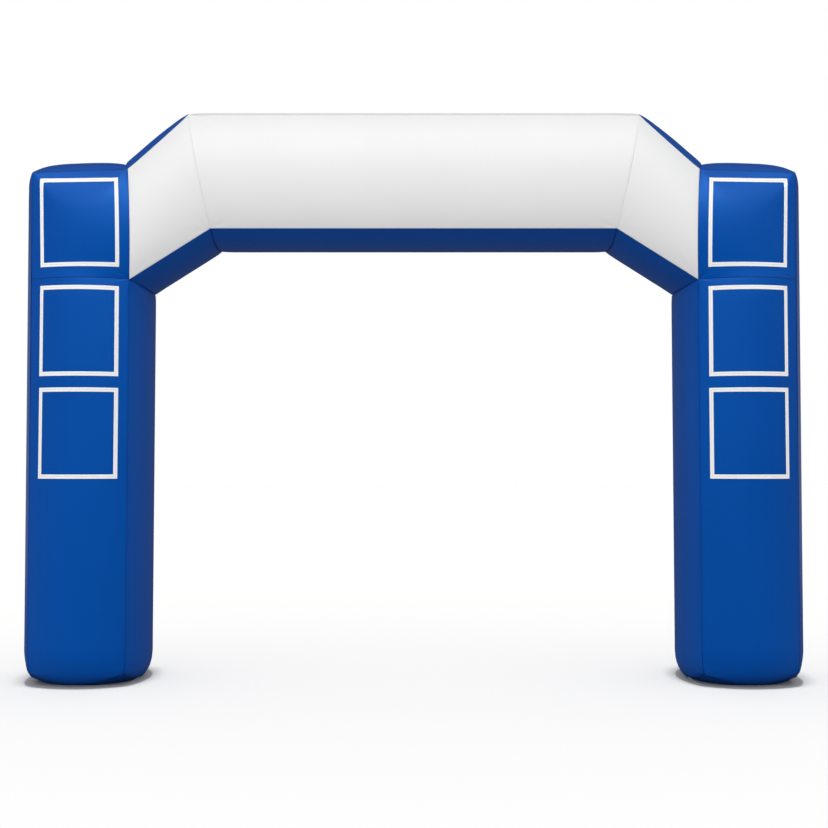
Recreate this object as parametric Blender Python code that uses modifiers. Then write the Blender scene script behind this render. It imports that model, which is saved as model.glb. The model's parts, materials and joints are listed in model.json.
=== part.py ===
"""Inflatable event arch: an air-filled envelope of sewn cloth panels.

The arch is a square tube of coated cloth, blown up so that every panel bows
out between its seams. Two legs carry a level beam through two slanting
shoulders. Each panel is one sheet of cloth, cut to the shape between its
seams, and the front of each leg carries three frames of white tape.

Metres, +Z up, front towards -Y. The origin is on the floor, midway between
the legs. Left is at -X.
"""

import math
from collections import namedtuple
from functools import partial

import bmesh
import bpy
from mathutils import Matrix, Vector

# A seam crosses the tube. Its bow is how its middle stands off the line between its ends, and
# its tucks are how far its two ends are drawn in: not at all, unless it says so.
Seam = namedtuple("Seam", "start end bow tucks", defaults=((Vector(), Vector()),))
# A panel runs from its first seam to its last. Its crown is its bow where neither holds it.
Panel = namedtuple("Panel", "first last crown first_run last_run")
# A tape frame's insets, at its bottom and its top, are from the leg's outer seam.
Frame = namedtuple("Frame", "bottom low_inset high_inset")
Arch = namedtuple("Arch", "collection stand blue white")

# Driving dimensions of the arch as it stands blown up.
OVERALL_WIDTH = 6.0
TUBE = 0.732  # the tube's side, from seam to seam
CROWN = 0.11  # how far a panel bows out past its seams, on fronts, backs and outer sides
UPPER_CROWN = 0.135  # the same on the top caps and the tops of the shoulders
BEAM_TOP_CROWN = 0.085
UNDER_CROWN = 0.10  # the same on all that faces the passage
CLOTH = 0.002
SEAM_GAP = 0.0025  # from a panel's edge to the middle of its seam

BASE_HEIGHT = 0.09
WAIST_HEIGHT = 3.065
HALF_DEPTH = TUBE / 2
OUTER_X = OVERALL_WIDTH / 2 - CROWN
INNER_X = OUTER_X - TUBE

# Corners of the tube in the front view, as (distance from the middle, height).
OUTER_BASE = (OUTER_X, BASE_HEIGHT)
INNER_BASE = (INNER_X, BASE_HEIGHT)
OUTER_WAIST = (OUTER_X, WAIST_HEIGHT)
INNER_WAIST = (INNER_X, WAIST_HEIGHT)
OUTER_TOP = (OUTER_X, 3.866)
INNER_TOP = (2.174, 3.899)
BEAM_TOP = (1.726, 4.318)
BEAM_BOTTOM = (1.544, 3.447)

# The share of its crown that a panel keeps at a seam across the tube.
WAIST_SHARE = 0.93
MITRE_SHARE = 0.97
CAP_MITRE_SHARE = 0.70
UPPER_MITRE_SHARE = 0.6

# How far from a seam across the tube a panel has its whole crown again.
BASE_RUN = 0.20
TOP_RUN = 0.20
FRONT_TOP_RUN = 0.36
CAP_RUN = 0.18
CAP_MITRE_RUN = 0.30
SHOULDER_RUN = 0.42
SLIP_RUN = 0.60  # how far a seam draws the cloth along towards itself
MITRE_RUN = 0.14
WAIST_RUN = 0.10

# The seams round a foot bow out and down, and the foot lies flat between them.
FOOT_BOW_OUT = 0.035
FOOT_BOW_DOWN = 0.06
FOOT_TUCK = 0.022  # how far the corners of a foot are drawn in, each way

# White tape frames on the front of each leg.
FRAME_WIDTH = 0.594
FRAME_HEIGHT = 0.68
FRAMES = {
    "lower": Frame(1.55, 0.084, 0.084),
    "middle": Frame(2.317, 0.081, 0.081),
    "upper": Frame(3.14, 0.078, 0.058),
}
TAPE_WIDTH = 0.036
TAPE = 0.0015
TAPE_CLEARANCE = 0.003

BOW_RADIUS = 1.8  # the radius of a bow, in half widths of its panel
FACETS_ACROSS = 8
FACETS_IN_RUN = 4
FACETS_ALONG_TAPE = 10
LONGEST_FACET = 1.6

BLUE = (0.003, 0.074, 0.376)
WHITE = (0.86, 0.86, 0.87)

FRONT, BACK = -1, 1
LEFT, RIGHT = -1, 1
INWARDS, OUTWARDS = -1, 1
UP = Vector((0, 0, 1))


def arc(share):
    """The bow of blown-up cloth: part of a circle, 0 at each edge and 1 midway."""
    depth_at_edge = math.sqrt(BOW_RADIUS**2 - 1)
    depth = math.sqrt(BOW_RADIUS**2 - (2 * share - 1) ** 2)
    return (depth - depth_at_edge) / (BOW_RADIUS - depth_at_edge)


def hold(distance, run):
    """How firmly a crossing seam holds a panel: 1 at the seam, then a quarter ellipse down to 0."""
    reach = min(distance / run, 1.0)
    return 1 - math.sqrt(reach * (2 - reach))


def slip(distance):
    """How far the cloth is drawn along by a crossing seam: 1 at the seam, then evenly less."""
    return max(1 - distance / SLIP_RUN, 0.0) ** 2


def length_of(panel):
    """A panel's length along its middle."""
    middles = [seam.start.lerp(seam.end, 0.5) for seam in (panel.first, panel.last)]
    return (middles[1] - middles[0]).length


def width_of(panel):
    """A panel's width at its narrower end."""
    return min((seam.end - seam.start).length for seam in (panel.first, panel.last))


def panel_point(panel, across, along):
    """The place on a panel at these shares of its width and its length.

    At each end the seam across the tube sets how far the cloth bows out, draws it
    along the panel, and draws in the two long seams.
    """
    crown = panel.crown.length
    outwards = panel.crown / crown
    first = panel.first.start.lerp(panel.first.end, across)
    last = panel.last.start.lerp(panel.last.end, across)
    place = first.lerp(last, along)
    bow_out = crown
    length = length_of(panel)
    for seam, run, distance in (
        (panel.first, panel.first_run, along * length),
        (panel.last, panel.last_run, (1 - along) * length),
    ):
        seam_out = seam.bow.dot(outwards)
        bow_out += (seam_out - crown) * hold(distance, run)
        place += (seam.bow - outwards * seam_out) * arc(across) * slip(distance)
        place += seam.tucks[0].lerp(seam.tucks[1], across) * hold(distance, run)
    return place + outwards * bow_out * arc(across)


def foot_point(seams, across, along):
    """The place on a foot, which hangs between four bowed seams and meets the floor."""
    front, back, outer, inner = seams
    near = (front.start + front.tucks[0]).lerp(front.end + front.tucks[1], across)
    far = (back.start + back.tucks[0]).lerp(back.end + back.tucks[1], across)
    place = near.lerp(far, along)
    place += front.bow.lerp(back.bow, along) * arc(across)
    place += outer.bow.lerp(inner.bow, across) * arc(along)
    place.z = max(place.z, 0.0)
    return place


def even_steps(first, last, count):
    """count steps of one size from first to last."""
    return [first + (last - first) * step / count for step in range(count + 1)]


def round_steps(first, last, count):
    """Steps from first to last that start small, like even steps round a quarter circle."""
    turns = even_steps(0.0, math.pi / 2, count)
    return [first + (last - first) * (1 - math.cos(turn)) for turn in turns]


def shares_across(panel):
    """The shares of a panel's width where its facets meet, inside its seams."""
    edge = SEAM_GAP / width_of(panel)
    return even_steps(edge, 1 - edge, FACETS_ACROSS)


def shares_along(panel):
    """The shares of a panel's length where its facets meet: closer where the bow changes."""
    length = length_of(panel)
    edge = SEAM_GAP / length
    rise = min(panel.first_run / length, 0.5)
    fall = min(panel.last_run / length, 0.5)
    shares = round_steps(edge, rise, FACETS_IN_RUN)
    middle_facets = math.ceil((1 - rise - fall) * length / LONGEST_FACET)
    if middle_facets:
        shares += even_steps(rise, 1 - fall, middle_facets)[1:-1]
        shares.append(1 - fall)
    falling = [1 - share for share in round_steps(edge, fall, FACETS_IN_RUN)]
    return shares + falling[-2::-1]


def sheet_mesh(name, columns, rows, place, hollow=False):
    """A grid of cloth whose points are place(column, row); a hollow one is only its outermost ring."""
    shape = bmesh.new()
    last_column, last_row = len(columns) - 1, len(rows) - 1
    bmesh.ops.create_grid(shape, x_segments=last_column, y_segments=last_row, size=0.5)
    border = set()
    for vertex in shape.verts:
        column = round((vertex.co.x + 0.5) * last_column)
        row = round((vertex.co.y + 0.5) * last_row)
        if column in (0, last_column) or row in (0, last_row):
            border.add(vertex)
        vertex.co = place(columns[column], rows[row])
    if hollow:
        inside = [face for face in shape.faces if border.isdisjoint(face.verts)]
        bmesh.ops.delete(shape, geom=inside, context="FACES")
    mesh = bpy.data.meshes.new(name)
    shape.to_mesh(mesh)
    shape.free()
    return mesh


def face_outwards(mesh, outwards):
    """Turns a sheet's faces to the outside of the arch."""
    facing = sum((face.normal * face.area for face in mesh.polygons), Vector())
    if facing.dot(outwards) < 0:
        mesh.flip_normals()


def cloth_material(name, colour):
    """Coated cloth with a satin face."""
    material = bpy.data.materials.new(name)
    material.use_nodes = True
    shader = material.node_tree.nodes["Principled BSDF"]
    shader.inputs["Base Color"].default_value = (*colour, 1.0)
    shader.inputs["Roughness"].default_value = 0.42
    shader.inputs["Metallic"].default_value = 0.0
    return material


def add_sheet(arch, name, mesh, outwards, material, thickness, side):
    """Adds a sheet to the arch, thickened on side 1, outwards, or on side -1, inwards."""
    face_outwards(mesh, outwards)
    middle = sum((vertex.co for vertex in mesh.vertices), Vector()) / len(mesh.vertices)
    mesh.transform(Matrix.Translation(-middle))
    mesh.materials.append(material)
    mesh.shade_smooth()
    sheet = bpy.data.objects.new(name, mesh)
    sheet.location = middle
    sheet.parent = arch.stand
    arch.collection.objects.link(sheet)
    solidify = sheet.modifiers.new("thickness", "SOLIDIFY")
    solidify.thickness = thickness
    solidify.offset = side


def add_panel(arch, name, panel, material):
    """Adds a panel of the tube."""
    place = partial(panel_point, panel)
    mesh = sheet_mesh(name, shares_across(panel), shares_along(panel), place)
    add_sheet(arch, name, mesh, panel.crown, material, CLOTH, INWARDS)


def corner(side, profile, facing):
    """A corner of the tube on one side of the arch, at its front or its back."""
    distance, height = profile
    return Vector((side * distance, facing * HALF_DEPTH, height))


def seam_over(side, profile, bow):
    """A seam that crosses the tube from front to back."""
    return Seam(corner(side, profile, FRONT), corner(side, profile, BACK), bow)


def normal_of(side, first, second):
    """The way that a panel between two corners of the profile faces, out of the tube."""
    run, rise = second[0] - first[0], second[1] - first[1]
    return Vector((-side * rise, 0, run)).normalized()


def mitre(normal, other, crown):
    """The bow of the seam between two panels that face these ways, where both keep this crown."""
    return (normal + other) * (crown / (1 + normal.dot(other)))


def foot_seams(side):
    """The four seams round a foot: front, back, outer and inner."""
    outer_tucks, inner_tucks = (
        [Vector((inwards * side * FOOT_TUCK, -facing * FOOT_TUCK, 0)) for facing in (FRONT, BACK)]
        for inwards in (-1, 1)
    )
    down = Vector((0, 0, -FOOT_BOW_DOWN))
    front, back = (
        Seam(
            corner(side, OUTER_BASE, facing),
            corner(side, INNER_BASE, facing),
            down + Vector((0, facing * FOOT_BOW_OUT, 0)),
            (outer_tuck, inner_tuck),
        )
        for facing, outer_tuck, inner_tuck in zip((FRONT, BACK), outer_tucks, inner_tucks)
    )
    away = Vector((side * FOOT_BOW_OUT, 0, 0))
    outer = seam_over(side, OUTER_BASE, down + away)._replace(tucks=outer_tucks)
    inner = seam_over(side, INNER_BASE, down - away)._replace(tucks=inner_tucks)
    return front, back, outer, inner


def leg_face(side, facing, base):
    """The lower and the upper panel on the front or the back of a leg."""
    crown = Vector((0, facing * CROWN, 0))
    waist, top = (
        Seam(corner(side, outer, facing), corner(side, inner, facing), bow)
        for outer, inner, bow in (
            (OUTER_WAIST, INNER_WAIST, crown * WAIST_SHARE),
            (OUTER_TOP, INNER_TOP, Vector()),
        )
    )
    column = Panel(base, waist, crown, BASE_RUN, WAIST_RUN)
    head = Panel(waist, top, crown, WAIST_RUN, FRONT_TOP_RUN)
    return column, head


def add_foot(arch, name, seams):
    """Adds the foot of a leg."""
    rising = round_steps(SEAM_GAP / TUBE, 0.5, FACETS_IN_RUN)
    shares = rising + [1 - share for share in rising[-2::-1]]
    mesh = sheet_mesh(name, shares, shares, partial(foot_point, seams))
    add_sheet(arch, name, mesh, -UP, arch.blue, CLOTH, INWARDS)


def add_frame(arch, name, panel, frame):
    """Adds a frame of white tape, sewn to the front of a leg."""
    outer_length = (panel.last.start - panel.first.start).length
    inner_length = (panel.last.end - panel.first.end).length
    low_width = (panel.first.end - panel.first.start).length
    high_width = (panel.last.end - panel.last.start).length
    bottom = frame.bottom - panel.first.start.z

    def place(column, row):
        inset = frame.low_inset + (frame.high_inset - frame.low_inset) * row / FRAME_HEIGHT
        height = bottom + row
        width = low_width + (high_width - low_width) * height / outer_length
        across = (inset + column) / width
        length = outer_length + (inner_length - outer_length) * across
        return panel_point(panel, across, height / length) + clearance

    clearance = Vector((0, FRONT * TAPE_CLEARANCE, 0))
    columns, rows = (
        [0.0, *even_steps(TAPE_WIDTH, size - TAPE_WIDTH, FACETS_ALONG_TAPE), size]
        for size in (FRAME_WIDTH, FRAME_HEIGHT)
    )
    mesh = sheet_mesh(name, columns, rows, place, hollow=True)
    add_sheet(arch, name, mesh, panel.crown, arch.white, TAPE, OUTWARDS)


def add_leg(arch, side, side_name):
    """Adds a leg's panels, its top cap, its foot and its frames."""
    away = Vector((side, 0, 0))
    front_base, back_base, outer_base, inner_base = foot_seams(side)
    add_foot(arch, f"{side_name}_foot", (front_base, back_base, outer_base, inner_base))

    for facing, name, base in ((FRONT, "front", front_base), (BACK, "back", back_base)):
        column, head = leg_face(side, facing, base)
        add_panel(arch, f"{side_name}_{name}_column", column, arch.blue)
        add_panel(arch, f"{side_name}_{name}_head", head, arch.blue)
        if facing == FRONT:
            for position, frame in FRAMES.items():
                panel = head if frame.bottom > WAIST_HEIGHT else column
                add_frame(arch, f"{side_name}_frame_{position}", panel, frame)

    outer_top = seam_over(side, OUTER_TOP, Vector())
    outer = Panel(outer_base, outer_top, away * CROWN, BASE_RUN, TOP_RUN)
    add_panel(arch, f"{side_name}_outer_side", outer, arch.blue)

    inner = Panel(inner_base, shoulder_foot(side), -away * UNDER_CROWN, BASE_RUN, MITRE_RUN)
    add_panel(arch, f"{side_name}_inner_side", inner, arch.blue)

    crown = normal_of(side, INNER_TOP, OUTER_TOP) * UPPER_CROWN
    cap = Panel(outer_top, shoulder_head(side), crown, CAP_RUN, CAP_MITRE_RUN)
    add_panel(arch, f"{side_name}_top_cap", cap, arch.blue)


def shoulder_foot(side):
    """The seam between a leg's inner side and the underside of its shoulder."""
    inner_side = Vector((-side, 0, 0))
    underside = normal_of(side, INNER_WAIST, BEAM_BOTTOM)
    return seam_over(side, INNER_WAIST, mitre(inner_side, underside, UNDER_CROWN * MITRE_SHARE))


def shoulder_head(side):
    """The seam between a leg's top cap and the top of its shoulder."""
    cap = normal_of(side, INNER_TOP, OUTER_TOP)
    top = normal_of(side, BEAM_TOP, INNER_TOP)
    return seam_over(side, INNER_TOP, mitre(cap, top, UPPER_CROWN * CAP_MITRE_SHARE))


def beam_end(side, facing):
    """The seam between a shoulder and the beam, on the front or the back."""
    bow = Vector((0, facing * CROWN * MITRE_SHARE, 0))
    return Seam(corner(side, BEAM_BOTTOM, facing), corner(side, BEAM_TOP, facing), bow)


def beam_bottom_end(side):
    """The seam between a shoulder and the beam, on the underside, which bows straight down."""
    return seam_over(side, BEAM_BOTTOM, -UP * UNDER_CROWN * MITRE_SHARE)


def beam_top_end(side):
    """The seam between a shoulder and the beam, on the top, where both are drawn in."""
    over_shoulder = normal_of(side, BEAM_TOP, INNER_TOP)
    return seam_over(side, BEAM_TOP, mitre(UP, over_shoulder, CROWN * UPPER_MITRE_SHARE))


def add_shoulder(arch, side, side_name):
    """Adds a shoulder, which slants from a leg up to the beam."""
    for facing, name in ((FRONT, "front"), (BACK, "back")):
        leg_ends = corner(side, INNER_WAIST, facing), corner(side, INNER_TOP, facing)
        leg_seam = Seam(*leg_ends, Vector())
        crown = Vector((0, facing * CROWN, 0))
        face = Panel(leg_seam, beam_end(side, facing), crown, SHOULDER_RUN, MITRE_RUN)
        add_panel(arch, f"{side_name}_shoulder_{name}", face, arch.white)

    crown = normal_of(side, INNER_WAIST, BEAM_BOTTOM) * UNDER_CROWN
    underside = Panel(shoulder_foot(side), beam_bottom_end(side), crown, MITRE_RUN, MITRE_RUN)
    add_panel(arch, f"{side_name}_shoulder_bottom", underside, arch.blue)

    crown = normal_of(side, BEAM_TOP, INNER_TOP) * UPPER_CROWN
    top = Panel(shoulder_head(side), beam_top_end(side), crown, MITRE_RUN, SHOULDER_RUN)
    add_panel(arch, f"{side_name}_shoulder_top", top, arch.blue)


def add_beam(arch):
    """Adds the level beam's four panels."""
    for facing, facing_name in ((FRONT, "front"), (BACK, "back")):
        ends = [beam_end(side, facing) for side in (LEFT, RIGHT)]
        crown = Vector((0, facing * CROWN, 0))
        face = Panel(*ends, crown, MITRE_RUN, MITRE_RUN)
        add_panel(arch, f"beam_{facing_name}", face, arch.white)
    for name, end_of, crown, material in (
        ("beam_top", beam_top_end, UP * BEAM_TOP_CROWN, arch.white),
        ("beam_bottom", beam_bottom_end, -UP * UNDER_CROWN, arch.blue),
    ):
        ends = [end_of(side) for side in (LEFT, RIGHT)]
        add_panel(arch, name, Panel(*ends, crown, MITRE_RUN, MITRE_RUN), material)


def main():
    """Clears the scene and builds the arch."""
    for item in list(bpy.data.objects):
        bpy.data.objects.remove(item, do_unlink=True)
    collection = bpy.data.collections.new("inflatable_arch")
    bpy.context.scene.collection.children.link(collection)
    stand = bpy.data.objects.new("arch_origin", None)
    collection.objects.link(stand)
    arch = Arch(
        collection, stand, cloth_material("blue_cloth", BLUE), cloth_material("white_cloth", WHITE)
    )
    for side, side_name in ((LEFT, "left"), (RIGHT, "right")):
        add_leg(arch, side, side_name)
        add_shoulder(arch, side, side_name)
    add_beam(arch)


main()
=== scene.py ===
"""The look of a blown-up event arch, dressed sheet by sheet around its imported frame.

The arch is a square tube of coated cloth. Every sheet bows out between its
seams and is a fine mesh here: the seams lie in shallow valleys with small
puckers, the corners carry folds, and every edge has its row of stitches. White
tape frames are sewn to the fronts of the legs. The shapes are worked out from
TubeSizes, with no cloth simulation.

Metres, +Z up, front towards -Y, left at -X, origin on the floor between the legs.
"""

import json
import logging
import math
from dataclasses import dataclass, field, replace
from enum import Enum
from typing import Callable

import bpy
import numpy as np
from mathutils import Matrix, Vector

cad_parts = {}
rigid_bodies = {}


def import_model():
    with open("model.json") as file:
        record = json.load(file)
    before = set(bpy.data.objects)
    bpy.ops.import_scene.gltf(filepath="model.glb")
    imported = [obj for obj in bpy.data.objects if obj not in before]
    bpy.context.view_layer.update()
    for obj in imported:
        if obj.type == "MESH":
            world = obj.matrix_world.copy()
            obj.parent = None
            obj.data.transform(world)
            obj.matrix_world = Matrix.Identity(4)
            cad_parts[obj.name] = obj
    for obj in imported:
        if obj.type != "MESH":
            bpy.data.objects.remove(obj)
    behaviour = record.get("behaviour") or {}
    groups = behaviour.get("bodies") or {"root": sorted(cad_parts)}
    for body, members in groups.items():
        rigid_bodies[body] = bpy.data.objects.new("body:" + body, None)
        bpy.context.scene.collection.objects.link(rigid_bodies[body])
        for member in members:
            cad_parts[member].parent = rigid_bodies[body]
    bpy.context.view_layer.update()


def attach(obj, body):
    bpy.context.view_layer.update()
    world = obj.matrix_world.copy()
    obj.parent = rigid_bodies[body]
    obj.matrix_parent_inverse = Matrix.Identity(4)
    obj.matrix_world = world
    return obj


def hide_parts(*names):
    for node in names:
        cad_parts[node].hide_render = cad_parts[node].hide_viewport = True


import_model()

LOG = logging.getLogger("arch")
BODY = "root"
FLOOR = "floor"
LEG_CLOTHS = ("column_cloth", "outer_side_cloth", "inner_side_cloth", "foot_cloth")

Array = np.ndarray
Surface = Callable[[Array, Array], Array]


class Side(Enum):
    """A side of the arch, valued as the sign of its x."""

    LEFT = -1
    RIGHT = 1

    @property
    def label(self) -> str:
        """The side's name as the frame's nodes spell it."""
        return self.name.lower()


class Facing(Enum):
    """The front or the back of the arch, valued as the sign of its y."""

    FRONT = -1
    BACK = 1

    @property
    def label(self) -> str:
        """The facing's name as the frame's nodes spell it."""
        return self.name.lower()


class Cloth(Enum):
    """The coated cloths, valued as the material slots of the frame's record."""

    BLUE = "blue_cloth"
    WHITE = "white_cloth"


class Edge(Enum):
    """An edge of a sheet: its two long seams, and the seams across the tube."""

    START = "start"
    END = "end"
    FIRST = "first"
    LAST = "last"


class Pull(Enum):
    """How a crossing seam draws in the bow of a sheet: in a tight turn or an easy one."""

    TIGHT = "tight"
    EASY = "easy"


UP = np.array([0.0, 0.0, 1.0])
NOWHERE = np.zeros(3)


# --- Shapes of blown-up cloth ------------------------------------------------------------


@dataclass(frozen=True)
class TubeSizes:
    """The sizes of the blown-up tube, in metres.

    A crown is how far a sheet bows out, and a share is the part of its crown that
    a sheet keeps at a seam across the tube. A run is how far from such a seam the
    sheet has its whole crown again. A tuck is how far the corners of a foot are
    drawn in, and a groove how deep a seam lies. Corners are (distance from the
    middle, height).
    """

    half_depth: float = 0.366
    crown: float = 0.11
    upper_crown: float = 0.1375
    shoulder_top_crown: float = 0.141
    beam_top_crown: float = 0.085
    under_crown: float = 0.105
    shoulder_under_crown: float = 0.093
    inner_crown: float = 0.103
    outer_base: tuple[float, float] = (2.886, 0.09)
    inner_base: tuple[float, float] = (2.153, 0.09)
    outer_waist: tuple[float, float] = (2.892, 3.055)
    inner_waist: tuple[float, float] = (2.151, 3.055)
    outer_top: tuple[float, float] = (2.898, 3.868)
    outer_top_share: float = 0.48
    inner_top: tuple[float, float] = (2.172, 3.901)
    beam_top: tuple[float, float] = (1.718, 4.314)
    beam_bottom: tuple[float, float] = (1.541, 3.443)
    waist_share: float = 0.90
    neck_share: float = 0.80
    neck_in: float = 0.028
    head_share: float = 0.62
    mitre_share: float = 0.93
    face_mitre_share: float = 0.985
    cap_mitre_share: float = 0.69
    cap_mitre_out: float = 0.038
    brow_sag: float = 0.005
    upper_mitre_share: float = 0.6
    base_run: float = 0.20
    inner_base_run: float = 0.15
    face_base_run: float = 0.24
    top_run: float = 0.12
    front_top_run: float = 0.50
    cap_run: float = 0.22
    cap_mitre_run: float = 0.42
    shoulder_run: float = 0.42
    mitre_run: float = 0.14
    notch_run: float = 0.05
    waist_run: float = 0.17
    foot_bow_out: float = 0.035
    foot_face_bow_out: float = -0.015
    foot_bow_down: float = 0.084
    foot_tuck: float = 0.022
    mitre_groove: float = 0.0045


BOW_RADIUS = 1.8  # the radius of a bow, in half widths of its sheet
SLIP_RUN = 0.60  # how far a seam draws the cloth along towards itself


def arc(share: Array) -> Array:
    """The bow across a sheet.

    Args:
        share: Shares of the sheet's width.

    Returns:
        Part of a circle, 0 at each edge and 1 midway.
    """
    depth_at_edge = math.sqrt(BOW_RADIUS**2 - 1)
    depth = np.sqrt(BOW_RADIUS**2 - (2 * share - 1) ** 2)
    return (depth - depth_at_edge) / (BOW_RADIUS - depth_at_edge)


def hold(distance: Array, run: float, pull: Pull = Pull.TIGHT) -> Array:
    """How firmly a crossing seam holds the cloth.

    Args:
        distance: Distances from the seam, in metres.
        run: The distance at which the cloth has its whole crown again.
        pull: Whether it gets there along a quarter ellipse or a parabola.

    Returns:
        1 at the seam, down to 0.
    """
    reach = np.clip(distance / run, 0.0, 1.0)
    if pull is Pull.EASY:
        return (1 - reach) ** 2
    return 1 - np.sqrt(reach * (2 - reach))


def soft_least(first: Array, second: Array, blend: float) -> Array:
    """The lesser of two values, rounded off where they are within the blend of each other."""
    near = np.clip(0.5 + 0.5 * (second - first) / blend, 0.0, 1.0)
    return second + (first - second) * near - blend * near * (1 - near)


def slip(distance: Array) -> Array:
    """How far the cloth is drawn along by a crossing seam, from its distance."""
    return np.maximum(1 - distance / SLIP_RUN, 0.0) ** 2


def mix(first: Array, second: Array, share: Array) -> Array:
    """The points that lie at these shares of the way between two points."""
    return first + (second - first) * share[..., None]


def mix_values(first: Array, second: Array, share: Array) -> Array:
    """The values that lie at these shares of the way between two."""
    return first + (second - first) * share


def unit(vectors: Array) -> Array:
    """The vectors at length 1."""
    return vectors / np.linalg.norm(vectors, axis=-1, keepdims=True)


@dataclass(frozen=True)
class Seam:
    """A seam across the tube.

    Its bow is how its middle stands off the line between its ends, and its tucks
    are how far its two ends are drawn in.
    """

    start: Array
    end: Array
    bow: Array = field(default_factory=lambda: NOWHERE)
    tucks: tuple[Array, Array] = (NOWHERE, NOWHERE)

    def outwards(self, otherwise: Array) -> Array:
        """The way that the seam bows out, or another way where it runs straight."""
        return unit(self.bow if np.any(self.bow) else otherwise)


@dataclass(frozen=True)
class Ripple:
    """An uneven ripple along a line, the same on both sheets that share the line."""

    seed: int = 11
    knots: int = 4096

    def at(self, place: Array, pitch: float) -> Array:
        """The ripple at places along its line.

        Args:
            place: Places in metres.
            pitch: The mean length of one swell, in metres.

        Returns:
            Heights from -1 to 1.
        """
        table = np.random.default_rng(self.seed).uniform(-1, 1, self.knots)
        step = place / pitch
        knot = np.floor(step).astype(int)
        share = step - knot
        share = share * share * (3 - 2 * share)
        before, after = table[knot % self.knots], table[(knot + 1) % self.knots]
        return before + (after - before) * share


@dataclass(frozen=True)
class Crease:
    """A soft ridge or valley in a sheet, from a corner inwards.

    The corner is given by its two edges, and the reach is how far the crease runs
    from it: across the sheet and along it, in metres. It rises over the first
    share of its length, and widens from the tip's share of its width.
    """

    across_from: Edge
    along_from: Edge
    reach: tuple[float, float]
    height: float
    width: float
    rise_share: float = 0.12
    tip_share: float = 0.45

    def relief(self, to_side: Array, to_seam: Array) -> Array:
        """The crease's height over the sheet.

        Args:
            to_side: Distances from the corner's long seam.
            to_seam: Distances from the corner's crossing seam.

        Returns:
            Heights in metres, negative in a valley.
        """
        length = math.hypot(*self.reach)
        way = self.reach[0] / length, self.reach[1] / length
        forth = to_side * way[0] + to_seam * way[1]
        aside = to_side * way[1] - to_seam * way[0]
        fade = np.clip(1 - forth / length, 0, 1) * np.clip(forth / (self.rise_share * length), 0, 1)
        spread = self.width * (self.tip_share + forth / length)
        return self.height * fade * np.exp(-((aside / spread) ** 2))


@dataclass(frozen=True)
class SeamRelief:
    """What sewing does to the cloth along its edges, in metres.

    A pucker is a fine ripple over a coarse one, and both swell and fade slowly
    along the seam. The three start at different places of the same ripple.
    """

    valley: float = 0.0012
    valley_width: float = 0.008
    groove_width: float = 0.014
    pucker: float = 0.0011
    pucker_pitch: float = 0.052
    pucker_start: float = 0.006
    pucker_reach: float = 0.042
    fine_share: float = 0.7
    coarse_share: float = 0.5
    coarseness: float = 2.3
    coarse_start: float = 57.3
    swell_share: float = 0.35
    swell_pitch: float = 0.7
    swell_start: float = 211.0
    fold: float = 0.00132
    fold_reach: float = 0.055
    folds_in_corner: float = 13.0
    turn_by_side: float = 2.1
    turn_by_strength: float = 1.3
    ripple: Ripple = Ripple()

    def sunk(self, distance: Array) -> Array:
        """How deep the cloth lies at distances from its nearest long seam."""
        return self.valley * np.clip(1 - distance / self.valley_width, 0, 1) ** 2

    def drawn_in(self, distance: Array, depth: float) -> Array:
        """How far a crossing seam of this depth draws the cloth in, at distances from it."""
        return depth * np.clip(1 - distance / self.groove_width, 0, 1) ** 2

    def puckers(self, distance: Array, place: Array) -> Array:
        """The ripple that gathered cloth has beside a seam.

        Args:
            distance: Distances from the seam.
            place: Places along the seam.

        Returns:
            Heights in metres.
        """
        fine = self.ripple.at(place, self.pucker_pitch)
        coarse = self.ripple.at(place + self.coarse_start, self.pucker_pitch * self.coarseness)
        wave = self.fine_share * fine + self.coarse_share * coarse
        swelling = self.ripple.at(place + self.swell_start, self.swell_pitch)
        swell = 1 - self.swell_share + self.swell_share * swelling
        rise = 1 - np.exp(-distance / self.pucker_start)
        return self.pucker * wave * swell * rise * np.exp(-distance / self.pucker_reach)

    def folds(self, to_side: Array, to_seam: Array, turn: float) -> Array:
        """The small folds that run out of a corner.

        Args:
            to_side: Distances from the corner's long seam.
            to_seam: Distances from the corner's crossing seam.
            turn: Which way the folds lie, in radians.

        Returns:
            Heights in metres.
        """
        out = np.hypot(to_side, to_seam) / self.fold_reach
        angle = np.arctan2(to_seam, to_side)
        return self.fold * np.sin(self.folds_in_corner * angle + turn) * out * np.exp(1 - out)


SEWING = SeamRelief()


class BlownSheet:
    """The shape of a blown-up sheet, over shares of its width and its length."""

    crown: Array

    def smooth(self, across: Array, along: Array) -> Array:
        """The surface before any sewing."""
        raise NotImplementedError

    def outwards_at(self, across: Array, along: Array) -> Array:
        """The smooth surface's outward normals at these shares."""
        return normals_of(self.smooth, across, along, self.crown)


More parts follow.
